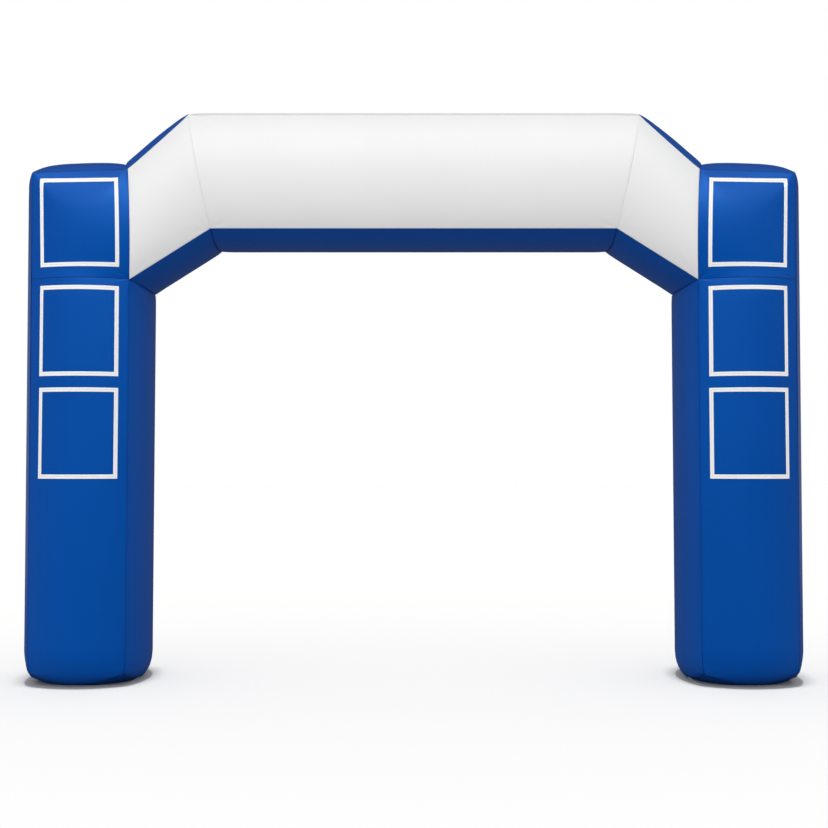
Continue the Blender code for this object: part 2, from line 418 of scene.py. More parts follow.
@dataclass(frozen=True)
class TubeSheet(BlownSheet):
    """A sheet of the tube, which runs from its first crossing seam to its last.

    Its grooves are how deep its two crossing seams lie, and its sags are how its
    two long seams bow between their ends. Where it has a hip, its bow near the last
    seam is the lesser of its own and what the seam leaves it, rounded off that much.
    """

    first: Seam
    last: Seam
    crown: Array
    first_run: float
    last_run: float
    creases: tuple[Crease, ...] = ()
    corner_folds: tuple[float, float] = (1.0, 1.0)
    pulls: tuple[Pull, Pull] = (Pull.TIGHT, Pull.TIGHT)
    hip: float = 0.0
    grooves: tuple[float, float] = (SEWING.valley, SEWING.valley)
    sags: tuple[Array, Array] = (NOWHERE, NOWHERE)

    @property
    def length(self) -> float:
        """The length along the sheet's middle, from seam to seam."""
        middles = [(seam.start + seam.end) / 2 for seam in (self.first, self.last)]
        return float(np.linalg.norm(middles[1] - middles[0]))

    @property
    def width(self) -> float:
        """The width at the sheet's narrower end, from seam to seam."""
        return min(float(np.linalg.norm(s.end - s.start)) for s in (self.first, self.last))

    def smooth(self, across: Array, along: Array) -> Array:
        """The blown-up surface before any sewing.

        Args:
            across: Shares of the sheet's width.
            along: Shares of its length, of the same shape.

        Returns:
            Points, with one more axis of three.
        """
        crown = float(np.linalg.norm(self.crown))
        outwards = self.crown / crown
        near = mix(self.first.start, self.first.end, across)
        far = mix(self.last.start, self.last.end, across)
        place = mix(near, far, along)
        place = place + mix(*self.sags, across) * arc(along)[..., None]
        rise = np.ones(across.shape)
        for seam, run, pull, distance in (
            (self.first, self.first_run, self.pulls[0], along * self.length),
            (self.last, self.last_run, self.pulls[1], (1 - along) * self.length),
        ):
            held = hold(distance, run, pull)
            seam_out = float(seam.bow @ outwards)
            rise = rise + (seam_out / crown - 1) * held
            lengthways = seam.bow - outwards * seam_out
            place = place + lengthways * (arc(across) * slip(distance))[..., None]
            place = place + mix(seam.tucks[0], seam.tucks[1], across) * hold(distance, run)[..., None]
        bow_out = arc(across) * rise
        if self.hip:
            folded = soft_least(arc(across), rise, self.hip)
            fade = np.clip((1 - along) * self.length / self.last_run, 0, 1)
            bow_out = mix_values(folded, bow_out, fade**2)
        return place + outwards * (crown * bow_out)[..., None]

    def distances(self, across: Array, along: Array) -> dict[Edge, Array]:
        """How far points of the sheet are from each of its edges.

        Args:
            across: Shares of the sheet's width.
            along: Shares of its length.

        Returns:
            The distances in metres, by edge.
        """
        near = mix(self.first.start, self.first.end, across)
        far = mix(self.last.start, self.last.end, across)
        left = mix(self.first.start, self.last.start, along)
        right = mix(self.first.end, self.last.end, along)
        width = np.linalg.norm(right - left, axis=-1)
        length = np.linalg.norm(far - near, axis=-1)
        return {
            Edge.START: across * width,
            Edge.END: (1 - across) * width,
            Edge.FIRST: along * length,
            Edge.LAST: (1 - along) * length,
        }

    def relief(self, across: Array, along: Array) -> Array:
        """What sewing and creasing add to the smooth surface.

        Args:
            across: Shares of the sheet's width.
            along: Shares of its length.

        Returns:
            Heights along the surface's normal, in metres.
        """
        away = self.distances(across, along)
        height = -SEWING.sunk(np.minimum(away[Edge.START], away[Edge.END]))
        lines = {
            Edge.START: (self.first.start, self.last.start, along),
            Edge.END: (self.first.end, self.last.end, along),
            Edge.FIRST: (self.first.start, self.first.end, across),
            Edge.LAST: (self.last.start, self.last.end, across),
        }
        for edge, (begin, finish, share) in lines.items():
            place = places_on_line(begin, finish, share)
            height = height + SEWING.puckers(away[edge], place)
        for number, side in enumerate((Edge.START, Edge.END)):
            for seam, strength in zip((Edge.FIRST, Edge.LAST), self.corner_folds):
                turn = SEWING.turn_by_side * number + SEWING.turn_by_strength * strength
                height = height + strength * SEWING.folds(away[side], away[seam], turn)
        for crease in self.creases:
            to_side, to_seam = away[crease.across_from], away[crease.along_from]
            height = height + crease.relief(to_side, to_seam)
        return height

    def surface(self, across: Array, along: Array) -> Array:
        """The finished surface at these shares.

        Args:
            across: Shares of the sheet's width.
            along: Shares of its length.

        Returns:
            Points. Where two sheets meet, each has the same ones.
        """
        normals = normals_of(self.smooth, across, along, self.crown)
        points = self.smooth(across, along) + normals * self.relief(across, along)[..., None]
        away = self.distances(across, along)
        taper = np.clip(np.minimum(across, 1 - across) * self.width / SEWING.groove_width, 0, 1)
        for edge, seam, depth in (
            (Edge.FIRST, self.first, self.grooves[0]),
            (Edge.LAST, self.last, self.grooves[1]),
        ):
            drawn = SEWING.drawn_in(away[edge], depth) * taper
            points = points - seam.outwards(self.crown) * drawn[..., None]
        return points


@dataclass(frozen=True)
class FootSheet(BlownSheet):
    """A foot, which hangs between four bowed seams and lies flat where it meets the floor."""

    front: Seam
    back: Seam
    outer: Seam
    inner: Seam

    @property
    def crown(self) -> Array:
        """The way that the foot faces."""
        return -UP

    @property
    def width(self) -> float:
        """The width from seam to seam."""
        return float(np.linalg.norm(self.front.end - self.front.start))

    @property
    def length(self) -> float:
        """The length from seam to seam, since a foot is square."""
        return self.width

    def smooth(self, across: Array, along: Array) -> Array:
        """The foot's surface before any sewing.

        Args:
            across: Shares of the foot's width.
            along: Shares of its depth.

        Returns:
            Points, none of them below the floor.
        """
        near = mix(self.front.start + self.front.tucks[0], self.front.end + self.front.tucks[1], across)
        far = mix(self.back.start + self.back.tucks[0], self.back.end + self.back.tucks[1], across)
        place = mix(near, far, along)
        place = place + mix(self.front.bow, self.back.bow, along) * arc(across)[..., None]
        place = place + mix(self.outer.bow, self.inner.bow, across) * arc(along)[..., None]
        place[..., 2] = np.maximum(place[..., 2], 0.0)
        return place

    def distances(self, across: Array, along: Array) -> dict[Edge, Array]:
        """How far points of the foot are from each of its edges.

        Args:
            across: Shares of the foot's width.
            along: Shares of its depth.

        Returns:
            The distances in metres, by edge.
        """
        return {
            Edge.START: across * self.width,
            Edge.END: (1 - across) * self.width,
            Edge.FIRST: along * self.length,
            Edge.LAST: (1 - along) * self.length,
        }

    def surface(self, across: Array, along: Array) -> Array:
        """The finished surface, drawn up a little into its seams.

        Args:
            across: Shares of the foot's width.
            along: Shares of its depth.

        Returns:
            Points.
        """
        nearest = np.minimum.reduce(list(self.distances(across, along).values()))
        place = self.smooth(across, along)
        place[..., 2] += SEWING.sunk(nearest)
        return place


COUNTING_WAY = np.array([0.71, 1.13, 0.94])  # a slanting way, along which places are counted
LEAST_SLOPE = 0.05
NUDGE = 1e-4  # the step, as a share, over which a surface's slope is measured


def places_on_line(begin: Array, finish: Array, share: Array) -> Array:
    """Places along a seam, counted alike by every sheet that ends on it.

    Args:
        begin: One end of the seam.
        finish: Its other end.
        share: Shares of the way between them.

    Returns:
        Places in metres.
    """
    slope = abs(float(unit(finish - begin) @ COUNTING_WAY))
    return mix(begin, finish, share) @ COUNTING_WAY / max(slope, LEAST_SLOPE)


def normals_of(surface: Surface, across: Array, along: Array, outwards: Array) -> Array:
    """Unit normals of a surface, on the side that faces outwards.

    Args:
        surface: The surface, as points over shares.
        across: Shares of the width.
        along: Shares of the length.
        outwards: A direction out of the tube.

    Returns:
        One normal for each pair of shares.
    """
    left, right = np.clip(across - NUDGE, 0, 1), np.clip(across + NUDGE, 0, 1)
    low = np.clip(along - NUDGE, 2 * NUDGE, 1 - 2 * NUDGE)
    high = np.clip(along + NUDGE, 4 * NUDGE, 1)
    widthways = surface(right, along) - surface(left, along)
    lengthways = surface(across, high) - surface(across, low)
    normals = np.cross(widthways, lengthways)
    middle = np.full(1, 0.5)
    facing = np.cross(
        surface(middle + NUDGE, middle) - surface(middle - NUDGE, middle),
        surface(middle, middle + NUDGE) - surface(middle, middle - NUDGE),
    )
    sign = 1.0 if float(facing[0] @ outwards) > 0 else -1.0
    return sign * unit(normals)


# --- Meshes ------------------------------------------------------------------------------


@dataclass(frozen=True)
class MeshSteps:
    """How finely a sheet is cut into facets, in metres.

    The facets beside a seam are listed by how far they reach from it. Where facets
    are small all over, the list ends within a few of them.
    """

    gap: float = 0.0001
    beside_seam: tuple[float, ...] = (0.003, 0.006, 0.010, 0.015, 0.022, 0.032, 0.045, 0.062)
    beside_seam_wide: tuple[float, ...] = (0.085, 0.115, 0.150)
    steps_beside_seam: float = 2.3
    across: float = 0.045
    along: float = 0.0145
    foot: float = 0.02

    def shares(self, size: float, step: float, wide: bool) -> Array:
        """The shares of a size where facets meet, closer beside its two seams.

        Args:
            size: The size from seam to seam.
            step: The largest facet.
            wide: Whether the facets away from the seams are large.

        Returns:
            Rising shares of the size.
        """
        edge = (self.gap, *self.beside_seam, *(self.beside_seam_wide if wide else ()))
        if not wide:
            edge = tuple(place for place in edge if place <= self.steps_beside_seam * step)
        count = max(int(math.ceil((size - 2 * edge[-1]) / step)), 1)
        middle = np.linspace(edge[-1], size - edge[-1], count + 1)
        near = np.array(edge[:-1])
        return np.concatenate([near, middle, (size - near)[::-1]]) / size


STEPS = MeshSteps()
CLOTH_THICKNESS = 0.0012
TAPE_THICKNESS = 0.0008


def quads(rows: int, columns: int, round_rows: bool = False) -> Array:
    """The faces of a grid of points.

    Args:
        rows: How many rows of points.
        columns: How many points in a row.
        round_rows: Whether the last row joins the first.

    Returns:
        Four point numbers for each face.
    """
    last_row = rows if round_rows else rows - 1
    row, column = np.meshgrid(np.arange(last_row), np.arange(columns - 1), indexing="ij")
    after = (row + 1) % rows
    corners = (
        row * columns + column,
        row * columns + column + 1,
        after * columns + column + 1,
        after * columns + column,
    )
    return np.stack(corners, axis=-1).reshape(-1, 4)


def make_mesh(name: str, points: Array, faces: Array, uv: Array | None = None) -> bpy.types.Mesh:
    """Makes a smooth mesh.

    Args:
        name: The mesh's name.
        points: Its points.
        faces: Point numbers for each face.
        uv: A place on the flat cloth for each point, in metres.

    Returns:
        The mesh.
    """
    mesh = bpy.data.meshes.new(name)
    mesh.from_pydata(points.reshape(-1, 3).tolist(), [], faces.tolist())
    if uv is not None:
        layer = mesh.uv_layers.new(name="cloth")
        corners = np.empty(len(mesh.loops), dtype=np.int32)
        mesh.loops.foreach_get("vertex_index", corners)
        layer.uv.foreach_set("vector", uv.reshape(-1, 2)[corners].astype(np.float32).ravel())
    mesh.shade_smooth()
    mesh.update()
    return mesh


def add_attribute(mesh: bpy.types.Mesh, name: str, values: Array) -> None:
    """Gives every point of a mesh a number that its material reads.

    Args:
        mesh: The mesh.
        name: The attribute's name.
        values: A number for each point.
    """
    attribute = mesh.attributes.new(name, "FLOAT", "POINT")
    attribute.data.foreach_set("value", values.astype(np.float32).ravel())


def face_out(points: Array, faces: Array, normals: Array) -> Array:
    """Turns the faces of a grid so that they face the way of its normals.

    Args:
        points: The points.
        faces: The faces.
        normals: The outward normal at each point.

    Returns:
        The faces, all turned round if most of them faced inwards.
    """
    flat, out = points.reshape(-1, 3), normals.reshape(-1, 3)
    corner = flat[faces]
    facing = np.cross(corner[:, 2] - corner[:, 0], corner[:, 3] - corner[:, 1])
    inwards = (facing * out[faces[:, 0]]).sum() < 0
    return faces[:, ::-1] if inwards else faces


def add_object(name: str, mesh: bpy.types.Mesh, material: bpy.types.Material) -> bpy.types.Object:
    """Adds a mesh to the scene.

    Args:
        name: The piece's name.
        mesh: Its mesh.
        material: Its finish.

    Returns:
        The new object.
    """
    mesh.materials.append(material)
    piece = bpy.data.objects.new(name, mesh)
    bpy.context.scene.collection.objects.link(piece)
    return piece


def thicken(piece: bpy.types.Object, thickness: float) -> None:
    """Makes a sheet a closed solid, thickened towards its inside.

    Args:
        piece: The sheet.
        thickness: Its thickness in metres.
    """
    solidify = piece.modifiers.new("thickness", "SOLIDIFY")
    solidify.thickness = thickness
    solidify.offset = -1
    solidify.use_even_offset = False


# --- Stitches ----------------------------------------------------------------------------

# A stitch has six points: its two ends, then both sides, the top and the bottom of its middle.
STITCH_FACES = np.array(
    [[0, 3, 4], [3, 1, 4], [1, 2, 4], [2, 0, 4], [3, 0, 5], [1, 3, 5], [2, 1, 5], [0, 2, 5]]
)
STITCH_POINTS = 6


def along_line(run: Array, values: Array, places: Array) -> Array:
    """The values, such as points, that a line has at these places along its run."""
    return np.stack([np.interp(places, run, values[:, axis]) for axis in range(3)], axis=1)


@dataclass(frozen=True)
class Thread:
    """A row of stitches: straight thread that lies on the cloth, in metres."""

    pitch: float = 0.008
    stitch: float = 0.0062
    width: float = 0.0012
    stand: float = 0.0005

    def stitches(self, line: Array, normals: Array) -> tuple[Array, Array]:
        """The stitches along a line on the cloth.

        Args:
            line: Points close together along the row.
            normals: The cloth's outward normals there.

        Returns:
            The stitches' points and triangles.
        """
        lengths = np.linalg.norm(np.diff(line, axis=0), axis=1)
        run = np.concatenate([[0.0], np.cumsum(lengths)])
        count = int(run[-1] / self.pitch)
        if not count:
            return np.empty((0, 3)), np.empty((0, 3), dtype=int)
        middle = (np.arange(count) + 0.5) * run[-1] / count
        start, centre, end = (
            along_line(run, line, place)
            for place in (middle - self.stitch / 2, middle, middle + self.stitch / 2)
        )
        out = unit(along_line(run, normals, middle))
        aside = np.cross(out, unit(end - start)) * self.width / 2
        up = out * self.stand
        points = [start, end, centre + aside, centre - aside, centre + up, centre - up]
        triangles = STITCH_FACES[None] + STITCH_POINTS * np.arange(count)[:, None, None]
        return np.stack(points, axis=1).reshape(-1, 3), triangles.reshape(-1, 3)


def join(parts: list[tuple[Array, Array]]) -> tuple[Array, Array]:
    """One set of points and faces from several.

    Args:
        parts: Points and faces of each.

    Returns:
        All the points and all the faces.
    """
    counts = np.cumsum([0] + [len(points) for points, _ in parts[:-1]])
    points = np.concatenate([points for points, _ in parts])
    return points, np.concatenate([faces + start for (_, faces), start in zip(parts, counts)])


# --- Finishes ----------------------------------------------------------------------------


class NodeTree:
    """Short ways to add nodes to a shader or a group, and to link them."""

    def __init__(self, tree: bpy.types.NodeTree) -> None:
        """Takes the tree to work on."""
        self.tree = tree

    def add(self, kind: str, **settings: object) -> bpy.types.Node:
        """Adds a node.

        Args:
            kind: The node's type.
            settings: Values for its own properties.

        Returns:
            The node.
        """
        node = self.tree.nodes.new(kind)
        for name, value in settings.items():
            setattr(node, name, value)
        return node

    def link(self, source: bpy.types.NodeSocket, target: bpy.types.NodeSocket) -> None:
        """Links an output to an input."""
        self.tree.links.new(source, target)

    def feed(self, socket: bpy.types.NodeSocket, value: object) -> None:
        """Links an output to a socket, or sets the socket to a plain value.

        Args:
            socket: The input to feed.
            value: An output, a number or a colour.
        """
        if isinstance(value, bpy.types.NodeSocket):
            self.link(value, socket)
        else:
            socket.default_value = value

    def math(self, operation: str, *values: object, clamp: bool = False) -> bpy.types.NodeSocket:
        """Adds a sum of one or more values.

        Args:
            operation: The Math node's operation.
            values: Sockets or numbers.
            clamp: Whether to keep the result from 0 to 1.

        Returns:
            The result's socket.
        """
        node = self.add("ShaderNodeMath", operation=operation, use_clamp=clamp)
        for socket, value in zip(node.inputs, values):
            self.feed(socket, value)
        return node.outputs[0]

    def split(self, vector: bpy.types.NodeSocket) -> bpy.types.NodeOutputs:
        """Splits a vector.

        Args:
            vector: The vector's socket.

        Returns:
            The sockets of its x, y and z.
        """
        node = self.add("ShaderNodeSeparateXYZ")
        self.link(vector, node.inputs[0])
        return node.outputs

    def bump(
        self, height: bpy.types.NodeSocket, depth: float, under: bpy.types.NodeSocket | None = None
    ) -> bpy.types.NodeSocket:
        """Turns a height into a bumpy normal.

        Args:
            height: The height, from 0 to 1.
            depth: How deep that is, in metres.
            under: The normal of a coarser bump that this one lies on.

        Returns:
            The normal's socket.
        """
        node = self.add("ShaderNodeBump")
        node.inputs["Distance"].default_value = depth
        self.link(height, node.inputs["Height"])
        if under is not None:
            self.link(under, node.inputs["Normal"])
        return node.outputs["Normal"]

    def noise(self, vector: object, scale: object, detail: float = 2.0) -> bpy.types.NodeSocket:
        """Adds noise and returns its strength, from 0 to 1.

        Args:
            vector: Where to read the noise.
            scale: Swells in a metre.
            detail: Its finer layers.

        Returns:
            The strength's socket.
        """
        node = self.add("ShaderNodeTexNoise")
        self.feed(node.inputs["Vector"], vector)
        self.feed(node.inputs["Scale"], scale)
        node.inputs["Detail"].default_value = detail
        return node.outputs["Fac"]

    def blend(self, share: object, first: object, second: object) -> bpy.types.NodeSocket:
        """Mixes two colours.

        Args:
            share: How much of the second, from 0 to 1.
            first: A colour.
            second: A colour.

        Returns:
            The mixed colour's socket.
        """
        node = self.add("ShaderNodeMix", data_type="RGBA")
        colour_inputs = [socket for socket in node.inputs if socket.type == "RGBA"]
        self.feed(node.inputs[0], share)
        self.feed(colour_inputs[0], first)
        self.feed(colour_inputs[1], second)
        return next(socket for socket in node.outputs if socket.type == "RGBA")

    def ramp(self, value: object, low: float, high: float) -> bpy.types.NodeSocket:
        """Maps values from low to high onto 0 to 1, smoothly.

        Args:
            value: The values.
            low: What becomes 0.
            high: What becomes 1.

        Returns:
            The mapped values' socket.
        """
        node = self.add("ShaderNodeMapRange", interpolation_type="SMOOTHSTEP")
        self.feed(node.inputs["Value"], value)
        node.inputs["From Min"].default_value = low
        node.inputs["From Max"].default_value = high
        return node.outputs["Result"]


Sockets = dict[str, str]
SOCKET_KINDS = {
    "value": "NodeSocketFloat",
    "colour": "NodeSocketColor",
    "vector": "NodeSocketVector",
}


class EffectGroup:
    """A shader node group with named inputs and outputs, which several finishes use."""

    name: str = ""
    takes: Sockets = {}
    gives: Sockets = {}

    def __init__(self) -> None:
        """Builds the group once."""
        self.group = bpy.data.node_groups.new(self.name, "ShaderNodeTree")
        for direction, sockets in (("INPUT", self.takes), ("OUTPUT", self.gives)):
            for name, kind in sockets.items():
                self.group.interface.new_socket(
                    name=name, in_out=direction, socket_type=SOCKET_KINDS[kind]
                )
        nodes = NodeTree(self.group)
        inside = nodes.add("NodeGroupInput").outputs
        outside = nodes.add("NodeGroupOutput").inputs
        for name, socket in self.build(nodes, inside).items():
            nodes.link(socket, outside[name])

    def build(self, nodes: NodeTree, given: bpy.types.NodeOutputs) -> dict[str, bpy.types.NodeSocket]:
        """Adds the group's nodes.

        Args:
            nodes: The group's tree.
            given: The group's inputs.

        Returns:
            A socket for each output.
        """
        raise NotImplementedError

    def use(self, nodes: NodeTree, **values: object) -> bpy.types.NodeOutputs:
        """Places the group in a finish.

        Args:
            nodes: The finish's tree.
            values: Sockets or plain values, by input, with _ for a space.

        Returns:
            The group's outputs.
        """
        node = nodes.add("ShaderNodeGroup", node_tree=self.group)
        for name, value in values.items():
            nodes.feed(node.inputs[name.replace("_", " ")], value)
        return node.outputs


class WeaveGroup(EffectGroup):
    """Plain weave: threads that pass over and under one another."""

    name = "plain weave"
    takes = {"Cloth Place": "vector", "Thread Pitch": "value"}
    gives = {"Height": "value"}

    def build(self, nodes: NodeTree, given: bpy.types.NodeOutputs) -> dict[str, bpy.types.NodeSocket]:
        """Adds the product of two sine waves, one for the warp and one for the weft.

        Args:
            nodes: The group's tree.
            given: The group's inputs.

        Returns:
            The height of the threads, from 0 to 1.
        """
        place = nodes.split(given["Cloth Place"])
        turns = nodes.math("DIVIDE", math.pi, given["Thread Pitch"])
        waves = [nodes.math("SINE", nodes.math("MULTIPLY", place[axis], turns)) for axis in (0, 1)]
        crossing = nodes.math("MULTIPLY", waves[0], waves[1])
        return {"Height": nodes.math("MULTIPLY_ADD", crossing, 0.5, 0.5)}


class PuckerGroup(EffectGroup):
    """Fine gathers beside a seam, which run square to it and fade away from it."""

    name = "fine gathers"
    takes = {
        "Cloth Place": "vector",
        "To Long Seam": "value",
        "To Cross Seam": "value",
        "Gather Pitch": "value",
        "Reach": "value",
    }
    gives = {"Height": "value"}
    bends = 9.0  # how fast a gather changes on its way from the seam, in swells a metre

    def build(self, nodes: NodeTree, given: bpy.types.NodeOutputs) -> dict[str, bpy.types.NodeSocket]:
        """Adds uneven waves for the long seams and for the crossing seams.

        Args:
            nodes: The group's tree.
            given: The group's inputs.

        Returns:
            The height of the gathers, from 0 to 1 or a little past it.
        """
        place = nodes.split(given["Cloth Place"])
        rate = nodes.math("DIVIDE", 1.0, given["Gather Pitch"])
        heights = []
        for along, to_seam in ((1, "To Long Seam"), (0, "To Cross Seam")):
            row = nodes.add("ShaderNodeCombineXYZ")
            nodes.link(nodes.math("MULTIPLY", place[along], rate), row.inputs[0])
            nodes.link(nodes.math("MULTIPLY", given[to_seam], self.bends), row.inputs[1])
            wave = nodes.noise(row.outputs[0], 1.0, detail=1.0)
            share = nodes.math("DIVIDE", given[to_seam], given["Reach"])
            fade = nodes.math("EXPONENT", nodes.math("MULTIPLY", share, -1.0))
            heights.append(nodes.math("MULTIPLY", wave, fade))
        return {"Height": nodes.math("ADD", heights[0], heights[1])}


class DriftGroup(EffectGroup):
    """Slow drift of a colour over the cloth, as dye and coating vary."""

    name = "colour drift"
    takes = {"Place": "vector", "Colour": "colour", "Drifted Colour": "colour", "Swells": "value"}
    gives = {"Colour": "colour", "Drift": "value"}
    fine_swells = 55.0
    fine_share = 0.2
    broad_share = 0.8
    drift_range = (0.3, 0.7)

    def build(self, nodes: NodeTree, given: bpy.types.NodeOutputs) -> dict[str, bpy.types.NodeSocket]:
        """Adds broad noise with a fine layer over it.

        Args:
            nodes: The group's tree.
            given: The group's inputs.

        Returns:
            The drifting colour, and how far it has drifted.
        """
        broad = nodes.noise(given["Place"], given["Swells"], detail=3.0)
        fine = nodes.noise(given["Place"], self.fine_swells)
        fine_part = nodes.math("MULTIPLY", fine, self.fine_share)
        drift = nodes.math("MULTIPLY_ADD", broad, self.broad_share, fine_part)
        share = nodes.ramp(drift, *self.drift_range)
        return {"Colour": nodes.blend(share, given["Colour"], given["Drifted Colour"]), "Drift": share}


class SoilGroup(EffectGroup):
    """Painted shade and some dust: seam lines, painted shade by the long seams and on what faces up,
    and scuffs with painted shade by the ground.
    """

    name = "seam dust and scuffs"
    takes = {
        "Place": "vector",
        "Facing": "vector",
        "Colour": "colour",
        "Dust": "colour",
        "Seam Colour": "colour",
        "To Long Seam": "value",
        "To Cross Seam": "value",
        "Seam Share": "value",
        "Edge Share": "value",
        "Edge Reach": "value",
        "Settled Share": "value",
        "Ground Share": "value",
    }
    gives = {"Colour": "colour", "Soil": "value"}
    seam_reach = 0.008
    # the darker band by the ground is partly scuffs and partly painted shade
    ground_reach = 0.16
    scuffs = 26.0  # in a metre
    scuff_range = (0.42, 0.62)
    # painted shade on what faces up comes in over this range
    settling_range = (0.1, 0.9)  # of the upward part of the surface's normal

    def build(self, nodes: NodeTree, given: bpy.types.NodeOutputs) -> dict[str, bpy.types.NodeSocket]:
        """Adds painted shade and dust by the distance from a seam, on what faces up and near the
        ground, where noise breaks it up.

        Args:
            nodes: The group's tree.
            given: The group's inputs.

        Returns:
            The colour with its painted shade and dust, and how much of both it has.
        """
        # seam line: partly dust, partly painted shade in the seam's crease
        to_seam = nodes.math("MINIMUM", given["To Long Seam"], given["To Cross Seam"])
        near_seam = nodes.math("SUBTRACT", 1.0, nodes.ramp(to_seam, 0.0, self.seam_reach))
        in_seam = nodes.math("MULTIPLY", near_seam, given["Seam Share"])
        # painted shade by the long seams, fading away from them
        reach = nodes.math("DIVIDE", given["To Long Seam"], given["Edge Reach"])
        fade = nodes.math("EXPONENT", nodes.math("MULTIPLY", nodes.math("POWER", reach, 2.0), -1.0))
        shade_by_edge = nodes.math("MULTIPLY", fade, given["Edge Share"])
        # darker patches by the ground: partly scuffs, partly painted shade
        off_ground = nodes.ramp(nodes.split(given["Place"])[2], 0.0, self.ground_reach)
        near_ground = nodes.math("SUBTRACT", 1.0, off_ground)
        scuffs = nodes.noise(given["Place"], self.scuffs, detail=4.0)
        broken = nodes.ramp(scuffs, *self.scuff_range)
        patchy_near_ground = nodes.math("MULTIPLY", near_ground, broken)
        at_ground = nodes.math("MULTIPLY", patchy_near_ground, given["Ground Share"])
        # painted shade on what faces up
        upwards = nodes.ramp(nodes.split(given["Facing"])[2], *self.settling_range)
        shade_on_top = nodes.math("MULTIPLY", upwards, given["Settled Share"])
        soil = nodes.math("ADD", nodes.math("ADD", shade_by_edge, shade_on_top), at_ground, clamp=True)
        dusty_and_shaded = nodes.blend(soil, given["Colour"], given["Dust"])
        return {"Colour": nodes.blend(in_seam, dusty_and_shaded, given["Seam Colour"]), "Soil": soil}


@dataclass
class Effects:
    """The effect groups that the finishes share."""

    weave: WeaveGroup = field(default_factory=WeaveGroup)
    pucker: PuckerGroup = field(default_factory=PuckerGroup)
    drift: DriftGroup = field(default_factory=DriftGroup)
    soil: SoilGroup = field(default_factory=SoilGroup)


Colour = tuple[float, float, float]


def opaque(colour: Colour) -> tuple[float, float, float, float]:
    """The colour with full alpha."""
    return (*colour, 1.0)


def start_material(name: str) -> tuple[bpy.types.Material, NodeTree, bpy.types.Node]:
    """Makes a new material.

    Args:
        name: The material's name.

    Returns:
        The material, its tree and its shader.
    """
    material = bpy.data.materials.new(name)
    material.use_nodes = True
    return material, NodeTree(material.node_tree), material.node_tree.nodes["Principled BSDF"]


@dataclass(frozen=True)
class CoatedCloth:
    """Coated woven cloth with a satin face. Lengths are in metres.

    The seam colour is that of the line in its seams, partly dust and partly painted crease shade. The
    dust-and-shade colour is that of painted shade by its long seams and on what faces up, and of scuffs
    with painted shade by the ground.
    """

    name: str
    colour: Colour
    drifted: Colour
    # colour of painted shade, also that of the scuffs by the ground
    dust: Colour
    # colour of the seam line, partly dust and partly painted crease shade
    seam_colour: Colour
    roughness: float
    roughness_drift: float
    specular: float
    specular_tint: Colour
    sheen: float
    sheen_tint: Colour
    # share of the seam line's dust and painted shade
    seam_dust: float
    # darker patches by the ground, partly scuffs and partly painted shade
    ground_dust: float
    # painted shade by the long seams, and how far it reaches
    edge_grime: float = 0.0
    edge_reach: float = 0.15
    # painted shade on what faces up
    settled_dust: float = 0.0
    thread_pitch: float = 0.0009
    weave_height: float = 0.00004
    gather_pitch: float = 0.019
    gather_height: float = 0.0005
    gather_reach: float = 0.028
    swells: float = 0.9
    sheen_roughness: float = 0.45
    soiled_roughness: float = 0.25

    def material(self, effects: Effects) -> bpy.types.Material:
        """Builds the material.

        Args:
            effects: The shared effect groups.

        Returns:
            The material.
        """
        material, nodes, shader = start_material(self.name)
        shader.inputs["Specular IOR Level"].default_value = self.specular
        shader.inputs["Specular Tint"].default_value = opaque(self.specular_tint)
        shader.inputs["Sheen Weight"].default_value = self.sheen
        shader.inputs["Sheen Roughness"].default_value = self.sheen_roughness
        shader.inputs["Sheen Tint"].default_value = opaque(self.sheen_tint)
        geometry = nodes.add("ShaderNodeNewGeometry").outputs
        place = geometry["Position"]
        cloth = nodes.add("ShaderNodeUVMap", uv_map="cloth").outputs["UV"]
        to_long, to_cross = (
            nodes.add("ShaderNodeAttribute", attribute_name=name).outputs["Fac"]
            for name in ("to_long_seam", "to_cross_seam")
        )
        drift = effects.drift.use(
            nodes,
            Place=place,
            Colour=opaque(self.colour),
            Drifted_Colour=opaque(self.drifted),
            Swells=self.swells,
        )
        # painted shade, with some seam dust and scuffs, mixed into the base colour
        soil = effects.soil.use(
            nodes,
            Place=place,
            Facing=geometry["Normal"],
            Colour=drift["Colour"],
            Dust=opaque(self.dust),
            Seam_Colour=opaque(self.seam_colour),
            To_Long_Seam=to_long,
            To_Cross_Seam=to_cross,
            Seam_Share=self.seam_dust,
            Edge_Share=self.edge_grime,
            Edge_Reach=self.edge_reach,
            Settled_Share=self.settled_dust,
            Ground_Share=self.ground_dust,
        )
        nodes.link(soil["Colour"], shader.inputs["Base Color"])
        rough = nodes.math("MULTIPLY_ADD", drift["Drift"], self.roughness_drift, self.roughness)
        # rougher where the painted shade and dust lie
        rough = nodes.math("MULTIPLY_ADD", soil["Soil"], self.soiled_roughness, rough)
        nodes.link(rough, shader.inputs["Roughness"])
        gathers = effects.pucker.use(
            nodes,
            Cloth_Place=cloth,
            To_Long_Seam=to_long,
            To_Cross_Seam=to_cross,
            Gather_Pitch=self.gather_pitch,
            Reach=self.gather_reach,
        )
        weave = effects.weave.use(nodes, Cloth_Place=cloth, Thread_Pitch=self.thread_pitch)
        gathered = nodes.bump(gathers["Height"], self.gather_height)
        woven = nodes.bump(weave["Height"], self.weave_height, gathered)
        nodes.link(woven, shader.inputs["Normal"])
        return material


